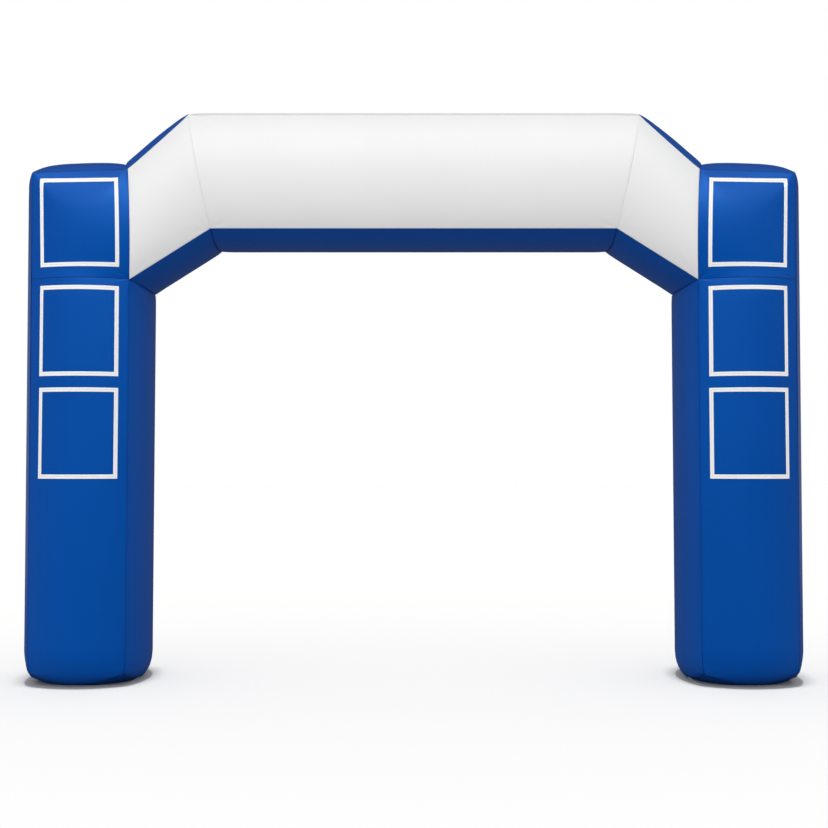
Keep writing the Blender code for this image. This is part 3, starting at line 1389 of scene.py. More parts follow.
@dataclass(frozen=True)
class SewingThread:
    """Bonded sewing thread with its twist. Lengths are in metres."""

    name: str
    colour: Colour
    drifted: Colour
    roughness: float = 0.55
    roughness_drift: float = 0.1
    specular: float = 0.3
    swells: float = 6.0
    twist_pitch: float = 0.0006
    twist_height: float = 0.00006

    def material(self, effects: Effects) -> bpy.types.Material:
        """Builds the material.

        Args:
            effects: The shared effect groups.

        Returns:
            The material.
        """
        material, nodes, shader = start_material(self.name)
        shader.inputs["Specular IOR Level"].default_value = self.specular
        place = nodes.add("ShaderNodeNewGeometry").outputs["Position"]
        drift = effects.drift.use(
            nodes,
            Place=place,
            Colour=opaque(self.colour),
            Drifted_Colour=opaque(self.drifted),
            Swells=self.swells,
        )
        nodes.link(drift["Colour"], shader.inputs["Base Color"])
        rough = nodes.math("MULTIPLY_ADD", drift["Drift"], self.roughness_drift, self.roughness)
        nodes.link(rough, shader.inputs["Roughness"])
        twist = effects.weave.use(nodes, Cloth_Place=place, Thread_Pitch=self.twist_pitch)
        nodes.link(nodes.bump(twist["Height"], self.twist_height), shader.inputs["Normal"])
        return material


BLUE_CLOTH = CoatedCloth(
    name="blue_coated_cloth",
    colour=(0.0, 0.062, 0.335),
    drifted=(0.0, 0.067, 0.352),
    # darker blue, for painted shade on top and for scuffs with painted shade by the ground
    dust=(0.03, 0.065, 0.27),
    # dark seam line, partly painted crease shade
    seam_colour=(0.0, 0.030, 0.170),
    roughness=0.41,
    roughness_drift=0.05,
    specular=0.5,
    specular_tint=(0.09, 0.36, 1.0),
    sheen=0.008,
    sheen_tint=(0.75, 0.80, 1.0),
    seam_dust=0.5,
    # darker patches by the ground, partly scuffs and partly painted shade
    ground_dust=0.10,
    # painted shade on the blue's upward faces
    settled_dust=0.3,
)
WHITE_CLOTH = CoatedCloth(
    name="white_coated_cloth",
    colour=(0.76, 0.76, 0.765),
    drifted=(0.735, 0.735, 0.74),
    # grey, for painted shade by the long seams and on what faces up
    dust=(0.51, 0.51, 0.51),
    seam_colour=(0.50, 0.50, 0.51),
    roughness=0.44,
    roughness_drift=0.06,
    specular=0.10,
    specular_tint=(1.0, 1.0, 1.0),
    sheen=0.05,
    sheen_tint=(1.0, 1.0, 1.0),
    seam_dust=0.1,
    ground_dust=0.0,
    # painted shade by the white panels' long seams
    edge_grime=0.06,
    edge_reach=0.12,
    # painted shade on the white's upward faces
    settled_dust=0.55,
)
TAPE_CLOTH = replace(
    WHITE_CLOTH,
    name="white_woven_tape",
    colour=(0.88, 0.88, 0.875),
    drifted=(0.83, 0.83, 0.83),
    roughness=0.55,
    thread_pitch=0.0014,
    weave_height=0.00012,
    gather_height=0.00012,
    # painted shade and dust in the tape's groove
    seam_dust=0.55,
    edge_grime=0.0,
    settled_dust=0.0,
)
BLUE_THREAD = SewingThread("blue_thread", (0.002, 0.075, 0.36), (0.003, 0.060, 0.30))
WHITE_THREAD = SewingThread("white_thread", (0.80, 0.80, 0.79), (0.70, 0.70, 0.69))


class Wardrobe:
    """All the materials of the arch."""

    def __init__(self) -> None:
        """Builds each material once."""
        effects = Effects()
        self.cloths = {
            Cloth.BLUE: BLUE_CLOTH.material(effects),
            Cloth.WHITE: WHITE_CLOTH.material(effects),
        }
        self.threads = {
            Cloth.BLUE: BLUE_THREAD.material(effects),
            Cloth.WHITE: WHITE_THREAD.material(effects),
        }
        self.tape = TAPE_CLOTH.material(effects)


# --- Sewn pieces -------------------------------------------------------------------------

MEASURING_POINTS = 41  # each way, over a sheet, to measure its flat size
ROW_STEP = 0.008  # between the points that a row of stitches follows
FEWEST_ROW_POINTS = 8


def add_stitches(
    node: str, rows: list[tuple[Array, Array]], material: bpy.types.Material
) -> bpy.types.Object:
    """Adds all the stitches of one sheet or tape.

    Args:
        node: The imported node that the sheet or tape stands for.
        rows: The points and triangles of each row.
        material: The thread's finish.

    Returns:
        The stitches as one object.
    """
    points, triangles = join(rows)
    name = f"{node}_stitches"
    LOG.info("%s: %d stitches", name, len(points) // STITCH_POINTS)
    return add_object(name, make_mesh(name, points, triangles), material)


@dataclass(frozen=True)
class SewnSheet:
    """A sheet of cloth as a piece of the arch, with its stitches."""

    node: str
    shape: TubeSheet | FootSheet
    cloth: Cloth
    sewn_to: tuple[str, ...]
    thread: Thread = Thread()
    stitch_row: float = 0.0085

    @property
    def name(self) -> str:
        """The piece's name."""
        return f"{self.node}_cloth"

    def shares(self) -> tuple[Array, Array]:
        """Where the sheet's facets meet.

        Returns:
            The shares of its width, and those of its length.
        """
        if isinstance(self.shape, FootSheet):
            both = STEPS.shares(self.shape.width, STEPS.foot, False)
            return both, both
        return (
            STEPS.shares(self.shape.width, STEPS.across, True),
            STEPS.shares(self.shape.length, STEPS.along, False),
        )

    def cut(self) -> tuple[tuple[float, float], float]:
        """The size of the flat sheet that blows up to this shape.

        Returns:
            The width and length of the rectangle that it is cut from, and its own area.
        """
        shares = np.linspace(0, 1, MEASURING_POINTS)
        along, across = np.meshgrid(shares, shares, indexing="ij")
        points = self.shape.smooth(across, along)
        widths = np.linalg.norm(np.diff(points, axis=1), axis=2).sum(axis=1)
        lengths = np.linalg.norm(np.diff(points, axis=0), axis=2).sum(axis=0)
        sides = np.diff(points, axis=1)[:-1], np.diff(points, axis=0)[:, :-1]
        area = float(np.linalg.norm(np.cross(*sides), axis=2).sum())
        flat = float(widths.max()), float(lengths.max())
        return flat, min(area, flat[0] * flat[1])

    def mesh(self) -> bpy.types.Mesh:
        """Builds the sheet's mesh.

        Returns:
            The mesh, which knows its place on the flat cloth and how far its seams are.
        """
        columns, rows = self.shares()
        along, across = np.meshgrid(rows, columns, indexing="ij")
        points = self.shape.surface(across, along)
        away = self.shape.distances(across, along)
        uv = np.stack([away[Edge.START], away[Edge.FIRST]], axis=-1)
        normals = self.shape.outwards_at(across, along)
        faces = face_out(points, quads(len(rows), len(columns)), normals)
        mesh = make_mesh(self.name, points, faces, uv)
        add_attribute(mesh, "to_long_seam", np.minimum(away[Edge.START], away[Edge.END]))
        add_attribute(mesh, "to_cross_seam", np.minimum(away[Edge.FIRST], away[Edge.LAST]))
        return mesh

    def stitching(self, material: bpy.types.Material) -> bpy.types.Object:
        """Builds the row of stitches round the sheet, just inside its seams.

        Args:
            material: The thread's finish.

        Returns:
            The stitches as one object.
        """
        width, length = self.shape.width, self.shape.length
        side, end = self.stitch_row / width, self.stitch_row / length
        rows = []
        for fixed, low, high, size, lengthways in (
            (side, end, 1 - end, length, True),
            (1 - side, end, 1 - end, length, True),
            (end, side, 1 - side, width, False),
            (1 - end, side, 1 - side, width, False),
        ):
            moving = np.linspace(low, high, max(int(size / ROW_STEP), FEWEST_ROW_POINTS))
            still = np.full(moving.shape, fixed)
            across, along = (still, moving) if lengthways else (moving, still)
            line = self.shape.surface(across, along)
            rows.append(self.thread.stitches(line, self.shape.outwards_at(across, along)))
        return add_stitches(self.node, rows, material)

    def build(self, wardrobe: Wardrobe) -> None:
        """Makes the sheet and its stitches, and ties both to the frame.

        Args:
            wardrobe: The materials.
        """
        piece = add_object(self.name, self.mesh(), wardrobe.cloths[self.cloth])
        thicken(piece, CLOTH_THICKNESS)
        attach(piece, BODY)
        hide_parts(self.node)
        stitches = self.stitching(wardrobe.threads[self.cloth])
        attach(stitches, BODY)
        flat, area = self.cut()
        LOG.info("%s: %.2f by %.2f m, %.2f m2", self.name, *flat, area)


@dataclass(frozen=True)
class TapeFrame:
    """A square frame of white tape, sewn to the front of a leg. Sizes are in metres.

    Its insets, at its bottom and its top, are from the leg's outer seam. The tape
    is domed, with a groove along its middle, and it is cut into facets at the rings.
    """

    node: str
    sheet: SewnSheet
    bottom: float
    low_inset: float
    high_inset: float
    width: float = 0.589
    height: float = 0.68
    tape_width: float = 0.032
    upright_share: float = 0.86
    lift: float = 0.0012
    dome: float = 0.0009
    edge_round: float = 0.003
    groove: float = 0.0009
    groove_width: float = 0.0035
    rings: tuple[float, ...] = (0.0, 0.0006, 0.0015, 0.003, 0.006, 0.009, 0.0120, 0.0142)
    steps: int = 52
    # how the groove and the edges take the seam line's dust and painted shade
    groove_dirt_rate: float = 2.2
    edge_dirt_offset: float = 0.004
    far_away: float = 1.0
    thread: Thread = Thread(pitch=0.006, stitch=0.0048, width=0.0011, stand=0.0004)
    stitch_rows: tuple[float, ...] = (0.004, 0.016, 0.028)

    @property
    def name(self) -> str:
        """The piece's name."""
        return f"{self.node}_tape"

    def shares_at(self, column: Array, row: Array) -> tuple[Array, Array]:
        """Where a place of the frame lies on the sheet that it is sewn to.

        Args:
            column: Distances from the frame's outer edge, towards the middle of the arch.
            row: Distances from its bottom edge.

        Returns:
            Shares of the sheet's width and of its length.
        """
        sheet = self.sheet.shape
        low_width = float(np.linalg.norm(sheet.first.end - sheet.first.start))
        high_width = float(np.linalg.norm(sheet.last.end - sheet.last.start))
        outer_length = float(np.linalg.norm(sheet.last.start - sheet.first.start))
        inner_length = float(np.linalg.norm(sheet.last.end - sheet.first.end))
        inset = self.low_inset + (self.high_inset - self.low_inset) * row / self.height
        height = self.bottom - float(sheet.first.start[2]) + row
        width = low_width + (high_width - low_width) * height / outer_length
        across = (inset + column) / width
        return across, height / (outer_length + (inner_length - outer_length) * across)

    def profile(self, inset: Array) -> Array:
        """How high the tape stands.

        Args:
            inset: Distances from the frame's outer edge.

        Returns:
            Heights over the sheet.
        """
        to_edge = np.minimum(inset, self.tape_width - inset)
        rise = np.sqrt(np.clip(to_edge / self.edge_round, 0, 1))
        dip = np.exp(-(((inset - self.tape_width / 2) / self.groove_width) ** 2))
        return self.lift + self.dome * rise - self.groove * dip

    def corners(self, inset: Array) -> Array:
        """The four corners of the frame at distances in from its outer edge.

        Args:
            inset: The distances.

        Returns:
            For each corner, its column and row at each distance.
        """
        left = inset * self.upright_share
        right = self.width - left
        low, high = inset, self.height - inset
        return np.array([[left, low], [right, low], [right, high], [left, high]])

    def round_points(self, inset: Array) -> tuple[Array, Array]:
        """Points round the frame, in rings at distances in from its outer edge.

        Args:
            inset: The distance of each ring.

        Returns:
            The columns and the rows of the points, ring by ring down the second axis.
        """
        corners = self.corners(inset)
        shares = np.arange(self.steps) / self.steps
        sides = [
            corners[side][:, None, :] * (1 - shares)[None, :, None]
            + corners[(side + 1) % 4][:, None, :] * shares[None, :, None]
            for side in range(4)
        ]
        ring = np.concatenate(sides, axis=1)
        return ring[0], ring[1]

    def on_sheet(self, inset: Array, lift: Array) -> tuple[Array, Array]:
        """The frame's points on the blown-up sheet.

        Args:
            inset: The distance of each ring from the outer edge.
            lift: How high each ring stands off the sheet.

        Returns:
            The points and the sheet's outward normals there.
        """
        across, along = self.shares_at(*self.round_points(inset))
        normals = self.sheet.shape.outwards_at(across, along)
        points = self.sheet.shape.surface(across, along) + normals * lift[None, :, None]
        return points, normals

    def mesh(self) -> bpy.types.Mesh:
        """Builds the tape's mesh, a ring with mitred corners.

        Returns:
            The mesh, which counts its groove, and its edges a little, as seams, so that they take the
            seam line's dust and painted shade.
        """
        edge = np.array(self.rings)
        inset = np.concatenate([edge, [self.tape_width / 2], (self.tape_width - edge)[::-1]])
        points, normals = self.on_sheet(inset, self.profile(inset))
        rows = 4 * self.steps
        faces = face_out(points, quads(rows, len(inset), round_rows=True), normals)
        around = 2 * (self.width + self.height)
        place = np.broadcast_to(np.linspace(0, around, rows)[:, None], points.shape[:2])
        side = np.broadcast_to(inset[None, :], points.shape[:2])
        mesh = make_mesh(self.name, points, faces, np.stack([side, place], axis=-1))
        to_groove = np.abs(side - self.tape_width / 2)
        to_edge = np.minimum(side, self.tape_width - side)
        # painted shade and dust in the groove and by the edges
        to_dirt_and_shade = np.minimum(to_groove * self.groove_dirt_rate, to_edge + self.edge_dirt_offset)
        add_attribute(mesh, "to_long_seam", to_dirt_and_shade)
        add_attribute(mesh, "to_cross_seam", np.full(points.shape[:2], self.far_away))
        return mesh

    def stitching(self, material: bpy.types.Material) -> bpy.types.Object:
        """Builds the rows of stitches that hold the tape.

        Args:
            material: The thread's finish.

        Returns:
            The stitches as one object.
        """
        inset = np.array(self.stitch_rows)
        points, normals = self.on_sheet(inset, self.profile(inset))
        rows = []
        for number in range(len(inset)):
            line = np.concatenate([points[:, number], points[:1, number]])
            out = np.concatenate([normals[:, number], normals[:1, number]])
            rows.append(self.thread.stitches(line, out))
        return add_stitches(self.node, rows, material)

    def build(self, wardrobe: Wardrobe) -> None:
        """Makes the frame and its stitches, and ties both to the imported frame.

        Args:
            wardrobe: The materials.
        """
        piece = add_object(self.name, self.mesh(), wardrobe.tape)
        thicken(piece, TAPE_THICKNESS)
        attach(piece, BODY)
        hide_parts(self.node)
        stitches = self.stitching(wardrobe.threads[Cloth.WHITE])
        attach(stitches, BODY)
        length = 2 * (self.width + self.height) - 4 * self.tape_width
        self.sheet.name
        LOG.info("%s: %.3f m tape, %.2f m long", self.name, self.tape_width, length)


# --- The arch ----------------------------------------------------------------------------


@dataclass(frozen=True)
class TubePlan:
    """Where the tube's seams run."""

    sizes: TubeSizes = TubeSizes()

    def corner(self, side: Side, profile: tuple[float, float], facing: Facing) -> Array:
        """A corner of the tube.

        Args:
            side: The side of the arch.
            profile: The corner's distance from the middle and its height.
            facing: The front or the back.

        Returns:
            The corner's place.
        """
        distance, height = profile
        return np.array([side.value * distance, facing.value * self.sizes.half_depth, height])

    def seam_over(self, side: Side, profile: tuple[float, float], bow: Array) -> Seam:
        """A seam from front to back across the tube.

        Args:
            side: The side of the arch.
            profile: The seam's distance from the middle and its height.
            bow: How its middle stands off.

        Returns:
            The seam.
        """
        ends = [self.corner(side, profile, facing) for facing in (Facing.FRONT, Facing.BACK)]
        return Seam(ends[0], ends[1], bow)

    def normal_of(
        self, side: Side, first: tuple[float, float], second: tuple[float, float]
    ) -> Array:
        """The way that a sheet between two corners of the profile faces, out of the tube."""
        run, rise = second[0] - first[0], second[1] - first[1]
        return unit(np.array([-side.value * rise, 0.0, run]))

    def mitre(self, normal: Array, other: Array, crown: float) -> Array:
        """The bow of the seam between two sheets.

        Args:
            normal: The way that one faces.
            other: The way that the other faces.
            crown: The crown that both keep there.

        Returns:
            The bow.
        """
        return (normal + other) * (crown / (1 + float(normal @ other)))

    def foot_seams(self, side: Side) -> tuple[Seam, Seam, Seam, Seam]:
        """The four seams round a foot.

        Args:
            side: The side of the arch.

        Returns:
            The front, back, outer and inner seams.
        """
        sizes, sign = self.sizes, side.value
        outer_tucks, inner_tucks = (
            tuple(
                np.array([way * sign * sizes.foot_tuck, -facing.value * sizes.foot_tuck, 0.0])
                for facing in (Facing.FRONT, Facing.BACK)
            )
            for way in (-1, 1)
        )
        down = -UP * sizes.foot_bow_down
        front, back = (
            Seam(
                self.corner(side, sizes.outer_base, facing),
                self.corner(side, sizes.inner_base, facing),
                down + np.array([0.0, facing.value * sizes.foot_face_bow_out, 0.0]),
                (outer_tuck, inner_tuck),
            )
            for facing, outer_tuck, inner_tuck in zip(
                (Facing.FRONT, Facing.BACK), outer_tucks, inner_tucks
            )
        )
        away = np.array([sign * sizes.foot_bow_out, 0.0, 0.0])
        outer = replace(self.seam_over(side, sizes.outer_base, down + away), tucks=outer_tucks)
        inner = replace(self.seam_over(side, sizes.inner_base, down - away), tucks=inner_tucks)
        return front, back, outer, inner

    def shoulder_foot(self, side: Side) -> Seam:
        """The seam between a leg's inner side and the underside of its shoulder.

        Args:
            side: The side of the arch.

        Returns:
            The seam.
        """
        sizes = self.sizes
        inner_side = np.array([-float(side.value), 0.0, 0.0])
        underside = self.normal_of(side, sizes.inner_waist, sizes.beam_bottom)
        bow = self.mitre(inner_side, underside, sizes.under_crown * sizes.mitre_share)
        return self.seam_over(side, sizes.inner_waist, bow)

    def shoulder_head(self, side: Side) -> Seam:
        """The seam between a leg's top cap and the top of its shoulder.

        Args:
            side: The side of the arch.

        Returns:
            The seam.
        """
        sizes = self.sizes
        cap = self.normal_of(side, sizes.inner_top, sizes.outer_top)
        top = self.normal_of(side, sizes.beam_top, sizes.inner_top)
        bow = self.mitre(cap, top, sizes.upper_crown * sizes.cap_mitre_share)
        outwards = np.array([side.value * sizes.cap_mitre_out, 0.0, 0.0])
        return self.seam_over(side, sizes.inner_top, bow + outwards)

    def brow_sag(self, side: Side) -> Array:
        """How the long seam on top of a shoulder's front or back sags midway."""
        over_shoulder = self.normal_of(side, self.sizes.beam_top, self.sizes.inner_top)
        return -over_shoulder * self.sizes.brow_sag

    def neck(self, side: Side, facing: Facing) -> Seam:
        """The seam between a leg's head and its shoulder, on the front or the back.

        Args:
            side: The side of the arch.
            facing: The front or the back.

        Returns:
            The seam.
        """
        sizes = self.sizes
        forward = facing.value * sizes.crown * sizes.neck_share
        bow = np.array([-side.value * sizes.neck_in, forward, 0.0])
        return Seam(
            self.corner(side, sizes.inner_waist, facing),
            self.corner(side, sizes.inner_top, facing),
            bow,
        )

    def beam_end(self, side: Side, facing: Facing) -> Seam:
        """The seam between a shoulder and the beam, on the front or the back.

        Args:
            side: The side of the arch.
            facing: The front or the back.

        Returns:
            The seam.
        """
        forward = facing.value * self.sizes.crown * self.sizes.face_mitre_share
        return Seam(
            self.corner(side, self.sizes.beam_bottom, facing),
            self.corner(side, self.sizes.beam_top, facing),
            np.array([0.0, forward, 0.0]),
        )

    def beam_bottom_end(self, side: Side) -> Seam:
        """The seam between a shoulder and the beam, on the underside."""
        bow = -UP * self.sizes.under_crown * self.sizes.mitre_share
        return self.seam_over(side, self.sizes.beam_bottom, bow)

    def beam_top_end(self, side: Side) -> Seam:
        """The seam between a shoulder and the beam, on the top.

        Args:
            side: The side of the arch.

        Returns:
            The seam.
        """
        sizes = self.sizes
        over_shoulder = self.normal_of(side, sizes.beam_top, sizes.inner_top)
        bow = self.mitre(UP, over_shoulder, sizes.crown * sizes.upper_mitre_share)
        return self.seam_over(side, sizes.beam_top, bow)


@dataclass(frozen=True)
class Leg:
    """A leg: its sheets, its top cap, its foot and, on the front, its tape frames.

    A frame is given by its bottom's height and its insets at its bottom and top.
    The folds are how strong the small folds in the sheets' corners are.
    """

    side: Side
    plan: TubePlan
    lower_frame: tuple[float, float, float] = (1.55, 0.082, 0.084)
    middle_frame: tuple[float, float, float] = (2.317, 0.083, 0.083)
    upper_frame: tuple[float, float, float] = (3.14, 0.079, 0.067)
    base_folds: float = 2.0
    top_folds: float = 1.4
    waist_folds: float = 0.8
    hip: float = 0.14
    foot_creases: tuple[Crease, ...] = (
        Crease(Edge.END, Edge.FIRST, (0.05, 0.13), -0.004, 0.010),
        Crease(Edge.START, Edge.FIRST, (0.06, 0.11), -0.003, 0.010),
    )
    neck_crease: Crease = Crease(Edge.END, Edge.FIRST, (0.14, 0.10), -0.007, 0.012)

    def name(self, part: str) -> str:
        """The node's name of a part of this leg."""
        return f"{self.side.label}_{part}"

    def face(self, facing: Facing, base: Seam) -> tuple[SewnSheet, SewnSheet]:
        """The lower and the upper sheet on the front or the back of the leg.

        Args:
            facing: The front or the back.
            base: The seam at the foot.

        Returns:
            The column and the head.
        """
        sizes, plan = self.plan.sizes, self.plan
        crown = np.array([0.0, facing.value * sizes.crown, 0.0])
        waist, top = (
            Seam(plan.corner(self.side, outer, facing), plan.corner(self.side, inner, facing), bow)
            for outer, inner, bow in (
                (sizes.outer_waist, sizes.inner_waist, crown * sizes.waist_share),
                (sizes.outer_top, sizes.inner_top, NOWHERE),
            )
        )
        column = TubeSheet(
            base,
            waist,
            crown,
            sizes.face_base_run,
            sizes.waist_run,
            creases=self.foot_creases,
            corner_folds=(self.base_folds, self.waist_folds),
            pulls=(Pull.TIGHT, Pull.EASY),
        )
        head = TubeSheet(
            waist,
            top,
            crown * sizes.head_share,
            sizes.waist_run,
            sizes.front_top_run,
            creases=(self.neck_crease,),
            corner_folds=(self.waist_folds, self.top_folds),
            pulls=(Pull.EASY, Pull.EASY),
            hip=self.hip,
            sags=(NOWHERE, plan.neck(self.side, facing).bow),
        )
        foot = f"{self.name('foot')}_cloth"
        lower = SewnSheet(self.name(f"{facing.label}_column"), column, Cloth.BLUE, (foot,))
        upper = SewnSheet(self.name(f"{facing.label}_head"), head, Cloth.BLUE, (lower.name,))
        return lower, upper

    def sheets(self) -> list[SewnSheet]:
        """Shapes the leg's sheets.

        Returns:
            The foot, the front and back, the outer and inner sides and the top cap.
        """
        sizes, plan, side = self.plan.sizes, self.plan, self.side
        front_base, back_base, outer_base, inner_base = plan.foot_seams(side)
        foot_shape = FootSheet(front_base, back_base, outer_base, inner_base)
        foot = SewnSheet(self.name("foot"), foot_shape, Cloth.BLUE, ())
        faces = [
            sheet
            for facing, base in ((Facing.FRONT, front_base), (Facing.BACK, back_base))
            for sheet in self.face(facing, base)
        ]
        away = np.array([float(side.value), 0.0, 0.0])
        normal = plan.normal_of(side, sizes.inner_top, sizes.outer_top)
        top_bow = plan.mitre(away, normal, sizes.crown * sizes.outer_top_share)
        outer_top = plan.seam_over(side, sizes.outer_top, top_bow)
        folds = (self.base_folds, self.top_folds)
        outer = TubeSheet(
            outer_base, outer_top, away * sizes.crown, sizes.base_run, sizes.top_run, (), folds
        )
        inner = TubeSheet(
            inner_base,
            plan.shoulder_foot(side),
            -away * sizes.inner_crown,
            sizes.inner_base_run,
            sizes.mitre_run,
            (),
            (self.base_folds, self.waist_folds),
            grooves=(SEWING.valley, sizes.mitre_groove),
        )
        cap = TubeSheet(
            outer_top,
            plan.shoulder_head(side),
            normal * sizes.upper_crown,
            sizes.cap_run,
            sizes.cap_mitre_run,
            (),
            (self.top_folds, self.waist_folds),
        )
        return [
            foot,
            *faces,
            SewnSheet(self.name("outer_side"), outer, Cloth.BLUE, (foot.name,)),
            SewnSheet(self.name("inner_side"), inner, Cloth.BLUE, (foot.name,)),
            SewnSheet(self.name("top_cap"), cap, Cloth.BLUE, (f"{self.name('outer_side')}_cloth",)),
        ]

    def frames(self, sheets: list[SewnSheet]) -> list[TapeFrame]:
        """The tape frames on the front of the leg.

        Args:
            sheets: The leg's sheets.

        Returns:
            The frames, from the lowest up.
        """
        found = {sheet.node: sheet for sheet in sheets}
        return [
            TapeFrame(self.name(f"frame_{position}"), found[self.name(carrier)], *place)
            for position, carrier, place in (
                ("lower", "front_column", self.lower_frame),
                ("middle", "front_column", self.middle_frame),
                ("upper", "front_head", self.upper_frame),
            )
        ]

    def build(self, wardrobe: Wardrobe) -> None:
        """Makes all the leg's pieces.

        Args:
            wardrobe: The materials.
        """
        sheets = self.sheets()
        for piece in [*sheets, *self.frames(sheets)]:
            piece.build(wardrobe)


@dataclass(frozen=True)
class Shoulder:
    """A shoulder, which slants from a leg up to the beam."""

    side: Side
    plan: TubePlan

    def sheets(self) -> list[SewnSheet]:
        """Shapes the shoulder's sheets.

        Returns:
            The front and back, then the bottom and top.
        """
        sizes, plan, side = self.plan.sizes, self.plan, self.side
        found = []
        for facing in (Facing.FRONT, Facing.BACK):
            shape = TubeSheet(
                plan.neck(side, facing),
                plan.beam_end(side, facing),
                np.array([0.0, facing.value * sizes.crown, 0.0]),
                sizes.shoulder_run,
                sizes.mitre_run,
                sags=(NOWHERE, plan.brow_sag(side)),
            )
            node = f"{side.label}_shoulder_{facing.label}"
            head = f"{side.label}_{facing.label}_head_cloth"
            found.append(SewnSheet(node, shape, Cloth.WHITE, (head,)))
        underside = TubeSheet(
            plan.shoulder_foot(side),
            plan.beam_bottom_end(side),
            plan.normal_of(side, sizes.inner_waist, sizes.beam_bottom) * sizes.shoulder_under_crown,
            sizes.mitre_run,
            sizes.mitre_run,
            grooves=(sizes.mitre_groove, sizes.mitre_groove),
        )
        top = TubeSheet(
            plan.shoulder_head(side),
            plan.beam_top_end(side),
            plan.normal_of(side, sizes.beam_top, sizes.inner_top) * sizes.shoulder_top_crown,
            sizes.notch_run,
            sizes.shoulder_run,
            sags=(plan.brow_sag(side), plan.brow_sag(side)),
        )
        for part, shape, carrier in (
            ("shoulder_bottom", underside, "inner_side"),
            ("shoulder_top", top, "top_cap"),
        ):
            sewn_to = (f"{side.label}_{carrier}_cloth",)
            found.append(SewnSheet(f"{side.label}_{part}", shape, Cloth.BLUE, sewn_to))
        return found

    def build(self, wardrobe: Wardrobe) -> None:
        """Makes all the shoulder's pieces."""
        for sheet in self.sheets():
            sheet.build(wardrobe)


@dataclass(frozen=True)
class Beam:
    """The level beam between the shoulders."""

    plan: TubePlan

    def sheets(self) -> list[SewnSheet]:
        """Shapes the beam's sheets.

        Returns:
            The front and back, then the top and bottom.
        """
        sizes, plan = self.plan.sizes, self.plan
        found = []
        for facing in (Facing.FRONT, Facing.BACK):
            ends = [plan.beam_end(side, facing) for side in (Side.LEFT, Side.RIGHT)]
            crown = np.array([0.0, facing.value * sizes.crown, 0.0])
            shape = TubeSheet(*ends, crown, sizes.mitre_run, sizes.mitre_run)
            sewn_to = tuple(f"{side.label}_shoulder_{facing.label}_cloth" for side in Side)
            found.append(SewnSheet(f"beam_{facing.label}", shape, Cloth.WHITE, sewn_to))
        for part, end_of, crown, cloth, groove in (
            ("top", plan.beam_top_end, UP * sizes.beam_top_crown, Cloth.WHITE, SEWING.valley),
            ("bottom", plan.beam_bottom_end, -UP * sizes.under_crown, Cloth.BLUE, sizes.mitre_groove),
        ):
            ends = [end_of(side) for side in (Side.LEFT, Side.RIGHT)]
            grooves = (groove, groove)
            shape = TubeSheet(*ends, crown, sizes.mitre_run, sizes.mitre_run, grooves=grooves)
            sewn_to = tuple(f"{side.label}_shoulder_{part}_cloth" for side in Side)
            found.append(SewnSheet(f"beam_{part}", shape, cloth, sewn_to))
        return found

    def build(self, wardrobe: Wardrobe) -> None:
        """Makes all the beam's pieces."""
        for sheet in self.sheets():
            sheet.build(wardrobe)


# --- Studio ------------------------------------------------------------------------------


@dataclass(frozen=True)
class Softbox:
    """A soft square lamp that the camera doesn't see.

    One that is glossy shows in the cloth's gloss, and one that isn't diffuse shows
    there alone.
    """

    name: str
    place: tuple[float, float, float]
    aim: tuple[float, float, float]
    size: tuple[float, float]
    power: float
    glossy: bool = False
    diffuse: bool = True

    def build(self, lit: bpy.types.Collection) -> None:
        """Adds the lamp to the scene.

        Args:
            lit: What the lamp lights.
        """
        lamp = bpy.data.lights.new(self.name, "AREA")
        lamp.shape = "RECTANGLE"
        lamp.size, lamp.size_y = self.size
        lamp.energy = self.power
        box = bpy.data.objects.new(self.name, lamp)
        box.location = self.place
        way = Vector(self.aim) - Vector(self.place)
        box.rotation_mode = "QUATERNION"
        box.rotation_quaternion = way.to_track_quat("-Z", "Y")
        box.visible_camera = False
        box.visible_glossy = self.glossy
        box.visible_diffuse = self.diffuse
        box.light_linking.receiver_collection = lit
        bpy.context.scene.collection.objects.link(box)


@dataclass(frozen=True)
class FloorLamp:
    """An overhead lamp for the floor alone, in which only the legs cast shadows.

    Its spread and its lean towards the front or the back are in degrees.
    """

    name: str = "floor_lamp"
    strength: float = 2.92
    spread: float = 4.0
    lean: float = 1.0

    def build(self, floor: bpy.types.Collection, legs: bpy.types.Collection) -> None:
        """Adds the lamp to the scene.

        Args:
            floor: What it lights.
            legs: What casts its shadows.
        """
        lamp = bpy.data.lights.new(self.name, "SUN")
        lamp.energy = self.strength
        lamp.angle = math.radians(self.spread)
        sun = bpy.data.objects.new(self.name, lamp)
        sun.rotation_euler = (math.radians(self.lean), 0.0, 0.0)
        sun.light_linking.receiver_collection = floor
        sun.light_linking.blocker_collection = legs
        bpy.context.scene.collection.objects.link(sun)


